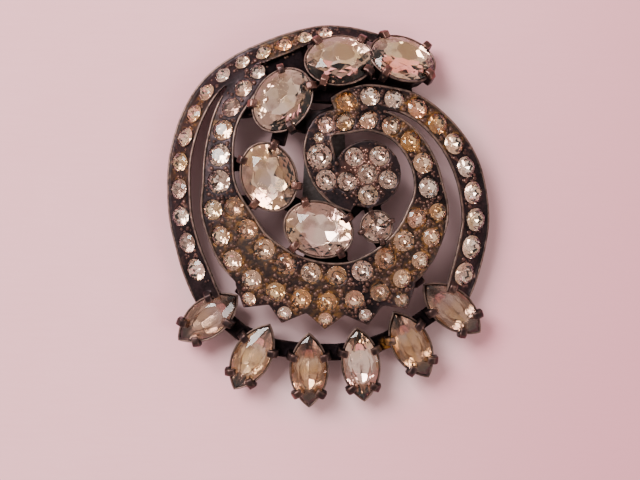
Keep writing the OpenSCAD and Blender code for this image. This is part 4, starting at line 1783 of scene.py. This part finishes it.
@dataclass
class Grains:
    """The raised grains that hold the small stones, and the finer crumbs between them.

    Attributes:
        metal: their finish.
        radius: of a grain.
        seed: of their chance.
        spread: distance of two neighbouring stones over that at which they touch.
        beside: how far beside two stones a grain may sit, over half their distance.
        apart: least distance from one grain's middle to another's.
        crumb: radius of a crumb.
        crumbs: how many crumbs are tried.
        crumb_apart: least distance of a crumb's middle, over its radius.
        clear_of_stone: how much of a stone a grain keeps clear of.
        sunk: how much of a grain's radius it keeps clear by.
        foot: how far from its middle a grain has to have metal under it, over its radius.
        most_step: greatest difference in height there.
        ring_reach: how far from a small stone a grain still takes up resin.
    """

    metal: bpy.types.Material
    radius: float = 0.36 * MM
    seed: int = 11
    spread: float = 1.6
    beside: tuple[float, ...] = (0.62, -0.62, 0.45, -0.45, 0.8, -0.8)
    apart: float = 0.42 * MM
    crumb: float = 0.20 * MM
    crumbs: int = 1500
    crumb_apart: float = 1.45
    clear_of_stone: float = 0.95
    sunk: float = 0.55
    foot: float = 0.8
    most_step: float = 0.75 * MM
    ring_reach: float = 0.8 * MM

    def build(self, frame: bpy.types.Object, stones: Stones) -> bpy.types.Object:
        """Raises a grain wherever the metal between small stones has room for one.

        Args:
            frame: the cast frame that carries them.
            stones: the stones.

        Returns:
            All the grains as one piece.
        """
        rng = random.Random(self.seed)
        chosen, sizes = self._sow(frame, stones.small, rng)
        bead = self._bead()
        grains = join_copies(bead, self._matrices(chosen, sizes, rng), "grains")
        remove(bead)
        self._tint(grains, [point for point, _ in chosen], rng)
        mask_rings(grains, stones.small, self.ring_reach)
        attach(grains, ROOT)
        LOG.info("grains: %d", len(chosen))
        return grains

    def _sow(self, frame: bpy.types.Object, small: list[StonePlace],
             rng: random.Random) -> tuple[list[Seat], list[float]]:
        """Finds the seats of all the grains and crumbs.

        Args:
            frame: the cast frame that carries them.
            small: the small stones.
            rng: the grains' chance.

        Returns:
            The seats, and the radius of the grain or crumb in each.
        """
        tree = BVHTree.FromObject(frame, bpy.context.evaluated_depsgraph_get())
        chosen: list[Seat] = []
        for spot in self._candidates(small):
            seat = self._seat(tree, spot, small, chosen, self.radius, self.apart)
            if seat:
                chosen.append(seat)
        sizes = [self.radius * rng.uniform(0.8, 1.15) for _ in chosen]
        for _ in range(self.crumbs):
            near = rng.choice(small)
            angle = rng.uniform(0, math.tau)
            reach = near.half_length + rng.uniform(0.1, 1.1) * MM
            spot = near.centre + Vector((math.cos(angle), math.sin(angle), 0.0)) * reach
            seat = self._seat(tree, spot, small, chosen, self.crumb, self.crumb_apart * self.crumb)
            if seat:
                chosen.append(seat)
                sizes.append(self.crumb * rng.uniform(0.7, 1.25))
        return chosen, sizes

    def _matrices(self, chosen: list[Seat], sizes: list[float], rng: random.Random) -> list[Matrix]:
        """Turns and squashes each grain by chance.

        Args:
            chosen: the seats.
            sizes: the radius of the grain in each.
            rng: the grains' chance.

        Returns:
            A matrix for each grain.
        """
        matrices = []
        for (point, normal), size in zip(chosen, sizes):
            turn = normal.to_track_quat("Z", "Y").to_matrix().to_4x4()
            squash = Matrix.Diagonal((rng.uniform(0.85, 1.2), 1.0, rng.uniform(0.7, 1.0), 1.0))
            spin = Matrix.Rotation(rng.uniform(0, math.tau), 4, "Z")
            matrices.append(Matrix.Translation(point) @ turn @ spin @ squash @ Matrix.Scale(size, 4))
        return matrices

    def _bead(self) -> bpy.types.Object:
        """Models one low bead of radius 1, open below where it grows from the metal.

        Returns:
            The bead.
        """
        deselect()
        bpy.ops.mesh.primitive_uv_sphere_add(segments=8, ring_count=6, radius=1.0)
        bead = bpy.context.object
        bpy.ops.object.mode_set(mode="EDIT")
        bpy.ops.mesh.select_all(action="SELECT")
        bpy.ops.mesh.bisect(plane_co=(0, 0, -0.5), plane_no=(0, 0, -1), clear_outer=True, use_fill=True)
        bpy.ops.mesh.select_all(action="SELECT")
        bpy.ops.transform.resize(value=(1.0, 1.0, 0.85))
        bpy.ops.object.mode_set(mode="OBJECT")
        bpy.ops.object.shade_smooth()
        bead.data.materials.append(self.metal)
        return bead

    def _tint(self, grains: bpy.types.Object, points: list[Vector], rng: random.Random) -> None:
        """Rubs each grain to copper by its own amount, most of all in the button.

        Args:
            grains: the joined grains.
            points: where each of them sits.
            rng: the grains' chance.
        """
        corners = len(grains.data.vertices) // len(points)
        values: list[float] = []
        for point in points:
            in_button = (point - BUTTON).xy.length < BUTTON_REACH
            values += [rng.uniform(0.9, 1.6) if in_button else rng.uniform(0.0, 0.6)] * corners
        mark(grains, "claw", values)

    def _candidates(self, small: list[StonePlace]) -> list[Vector]:
        """Lists spots beside each pair of neighbouring stones.

        Args:
            small: the small stones.

        Returns:
            The spots.
        """
        spots = []
        for k, first in enumerate(small):
            for second in small[k + 1:]:
                gap = second.centre - first.centre
                reach = first.half_length + second.half_length
                if gap.length > reach * self.spread:
                    continue
                middle = (first.centre + second.centre) / 2
                side = Vector((-gap.y, gap.x, 0.0)).normalized()
                spots += [middle + side * reach / 2 * share for share in self.beside]
        return spots

    def _seat(self, tree: BVHTree, spot: Vector, small: list[StonePlace], chosen: list[Seat],
              radius: float, apart: float) -> Seat | None:
        """Finds where a grain meets the metal under a spot, or nothing where it has no room.

        Args:
            tree: the frame's surface.
            spot: a place seen from above.
            small: the small stones.
            chosen: the grains placed so far.
            radius: the grain's radius.
            apart: the least distance to another grain's middle.

        Returns:
            The point on the metal and its normal, or None.
        """
        for stone in small:
            level = Vector((spot.x - stone.centre.x, spot.y - stone.centre.y))
            if level.length < stone.half_length * self.clear_of_stone + radius * self.sunk:
                return None
        if any((spot - point).xy.length < apart for point, _ in chosen):
            return None
        offset = radius * self.foot
        for x, y in ((offset, 0.0), (0.0, offset), (-offset, 0.0), (0.0, -offset), (0.0, 0.0)):
            above = Vector((spot.x + x, spot.y + y, ABOVE))
            point, normal, _, _ = tree.ray_cast(above, Vector((0, 0, -1)))
            if point is None or abs(point.z - spot.z) > self.most_step:
                return None
        return point, normal


@dataclass
class ClipBack:
    """The plain clip behind the frame, with broken edges."""

    node: bpy.types.Object
    steel: bpy.types.Material
    edge: float = 0.12 * MM

    def build(self) -> bpy.types.Object:
        """Models the tongue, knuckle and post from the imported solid.

        Returns:
            The finished clip.
        """
        clip = copy_packed(self.node, "clip_tongue")
        bpy.ops.mesh.dissolve_limited(angle_limit=math.radians(1.0))
        bpy.ops.object.mode_set(mode="OBJECT")
        apply_modifier(clip, "BEVEL", width=self.edge, segments=2, limit_method="ANGLE",
                       angle_limit=math.radians(40))
        activate(clip)
        bpy.ops.object.shade_smooth_by_angle(angle=math.radians(35))
        refinish(clip, self.steel)
        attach(clip, ROOT)
        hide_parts("clip_back")
        LOG.info("%s: %d faces", clip.name, len(clip.data.polygons))
        return clip


# Stage


@dataclass(frozen=True)
class SoftLamp:
    """A square soft light."""

    name: str
    place: Triple
    size: float
    power: float
    tint: Colour = (1.0, 1.0, 1.0)

    def build(self, aim: Vector) -> None:
        """Hangs the light and turns it to a point.

        Args:
            aim: the point.
        """
        deselect()
        bpy.ops.object.light_add(type="AREA", location=self.place)
        lamp = bpy.context.object
        lamp.name = self.name
        lamp.data.shape = "SQUARE"
        lamp.data.size = self.size
        lamp.data.energy = self.power
        lamp.data.color = self.tint
        way = aim - Vector(self.place)
        lamp.rotation_euler = way.to_track_quat("-Z", "Y").to_euler()


@dataclass
class Stage:
    """Floor, light and camera.

    Attributes:
        cloth: the floor's finish.
        camera_height: height of the camera over the floor.
        sensor: its sensor's width in millimetres.
        face_level: height at which the picture has the photo's scale.
        aim_level: height that the lamps point to.
        floor_size: side of the floor.
        walls: colour of the room to the side.
        ceiling: colour of the room overhead.
        ceiling_from: how far up, from 0 to 1, its colour sets in.
        ceiling_full: how far up it is full.
        lamps: the lamps.
    """

    cloth: bpy.types.Material
    camera_height: float = 360.0 * MM
    sensor: float = 36.0
    face_level: float = 6.0 * MM
    aim_level: float = 5.0 * MM
    floor_size: float = 1.2
    walls: Colour = (0.98, 0.85, 0.80)
    ceiling: Colour = (0.48, 0.38, 0.35)
    ceiling_from: float = 0.50
    ceiling_full: float = 0.90
    lamps: tuple[SoftLamp, ...] = (
        SoftLamp("window", (-0.34, 0.30, 0.53), 0.36, 8.4, (1.0, 0.96, 0.94)),
        SoftLamp("lamp", (0.40, -0.30, 0.42), 0.16, 0.9, (1.0, 0.95, 0.92)),
    )

    def build(self) -> None:
        """Sets up the floor, the light and the camera."""
        deselect()
        bpy.ops.mesh.primitive_grid_add(x_subdivisions=8, y_subdivisions=8, size=self.floor_size)
        floor = bpy.context.object
        floor.name = "floor"
        floor.data.materials.append(self.cloth)
        floor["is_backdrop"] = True
        for lamp in self.lamps:
            lamp.build(Vector((0.0, 0.0, self.aim_level)))
        self._room()
        self._camera()

    def _room(self) -> None:
        """Surrounds the clip with pale walls and a darker ceiling."""
        world = bpy.data.worlds.new("room")
        world.use_nodes = True
        wire = Wiring(world.node_tree)
        way = wire.add("SeparateXYZ", Vector=wire.add("TexCoord").outputs["Generated"])
        high = wire.ramp(way.outputs["Z"], self.ceiling_from, self.ceiling_full)
        background = world.node_tree.nodes["Background"]
        wire.put(background.inputs["Color"], wire.blend(high, colour(self.walls), colour(self.ceiling)))
        bpy.context.scene.world = world

    def _camera(self) -> None:
        """Looks straight down at the middle of the photo's frame, at its scale."""
        x = (PHOTO_WIDTH / 2 - ORIGIN_PX[0]) * PIXEL
        y = (ORIGIN_PX[1] - PHOTO_HEIGHT / 2) * PIXEL
        bpy.ops.object.camera_add(location=(x, y, self.camera_height), rotation=(0.0, 0.0, 0.0))
        camera = bpy.context.object
        camera.data.sensor_width = self.sensor
        camera.data.lens = self.sensor * (self.camera_height - self.face_level) / (PHOTO_WIDTH * PIXEL)
        camera.data.clip_start = 0.01
        bpy.context.scene.camera = camera


def main() -> None:
    """Builds the dressed clip and its stage."""
    logging.basicConfig(level=logging.INFO, format="%(name)s: %(message)s")
    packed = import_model()
    packed_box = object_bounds()
    low, high = packed_box
    effects = Effects(high.x - low.x, high.y - low.y)
    effects.build()

    large_glass = CutGlass("large_cut_glass", clear=(0.995, 0.86, 0.80), stain_share=0.5, zoned=1.0)
    stones = Stones(CutGlass().material(effects), large_glass.material(effects),
                    FoilBack().material(effects))
    stones.read(packed["nodes"])
    frame = CastFrame(packed["nodes"]["frame"], CastMetal().material(effects)).build(stones)
    grain_metal = CastMetal("grain_metal", copper=(0.20, 0.098, 0.078), worn=(0.22, 0.11, 0.085),
                            rubbed=0.5).material(effects)
    Grains(grain_metal).build(frame, stones)
    # Partly painted highlight: the rims' skin is lighter and greenish grey, for the light that their
    # raised edges catch; their copper is rubbed wear
    highlit_rim_metal = CastMetal("highlit_rim_metal", skin=(0.060, 0.048, 0.042), worn=(0.36, 0.23, 0.19), specks=0.5,
                          rubbed=0.6).material(effects)
    Rims(highlit_rim_metal).build(stones)
    ClipBack(packed["nodes"]["clip_back"], ClipSteel().material(effects)).build()
    stones.build()
    Stage(PaleCloth().material(effects)).build()

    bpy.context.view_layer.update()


if __name__ == "__main__":
    main()
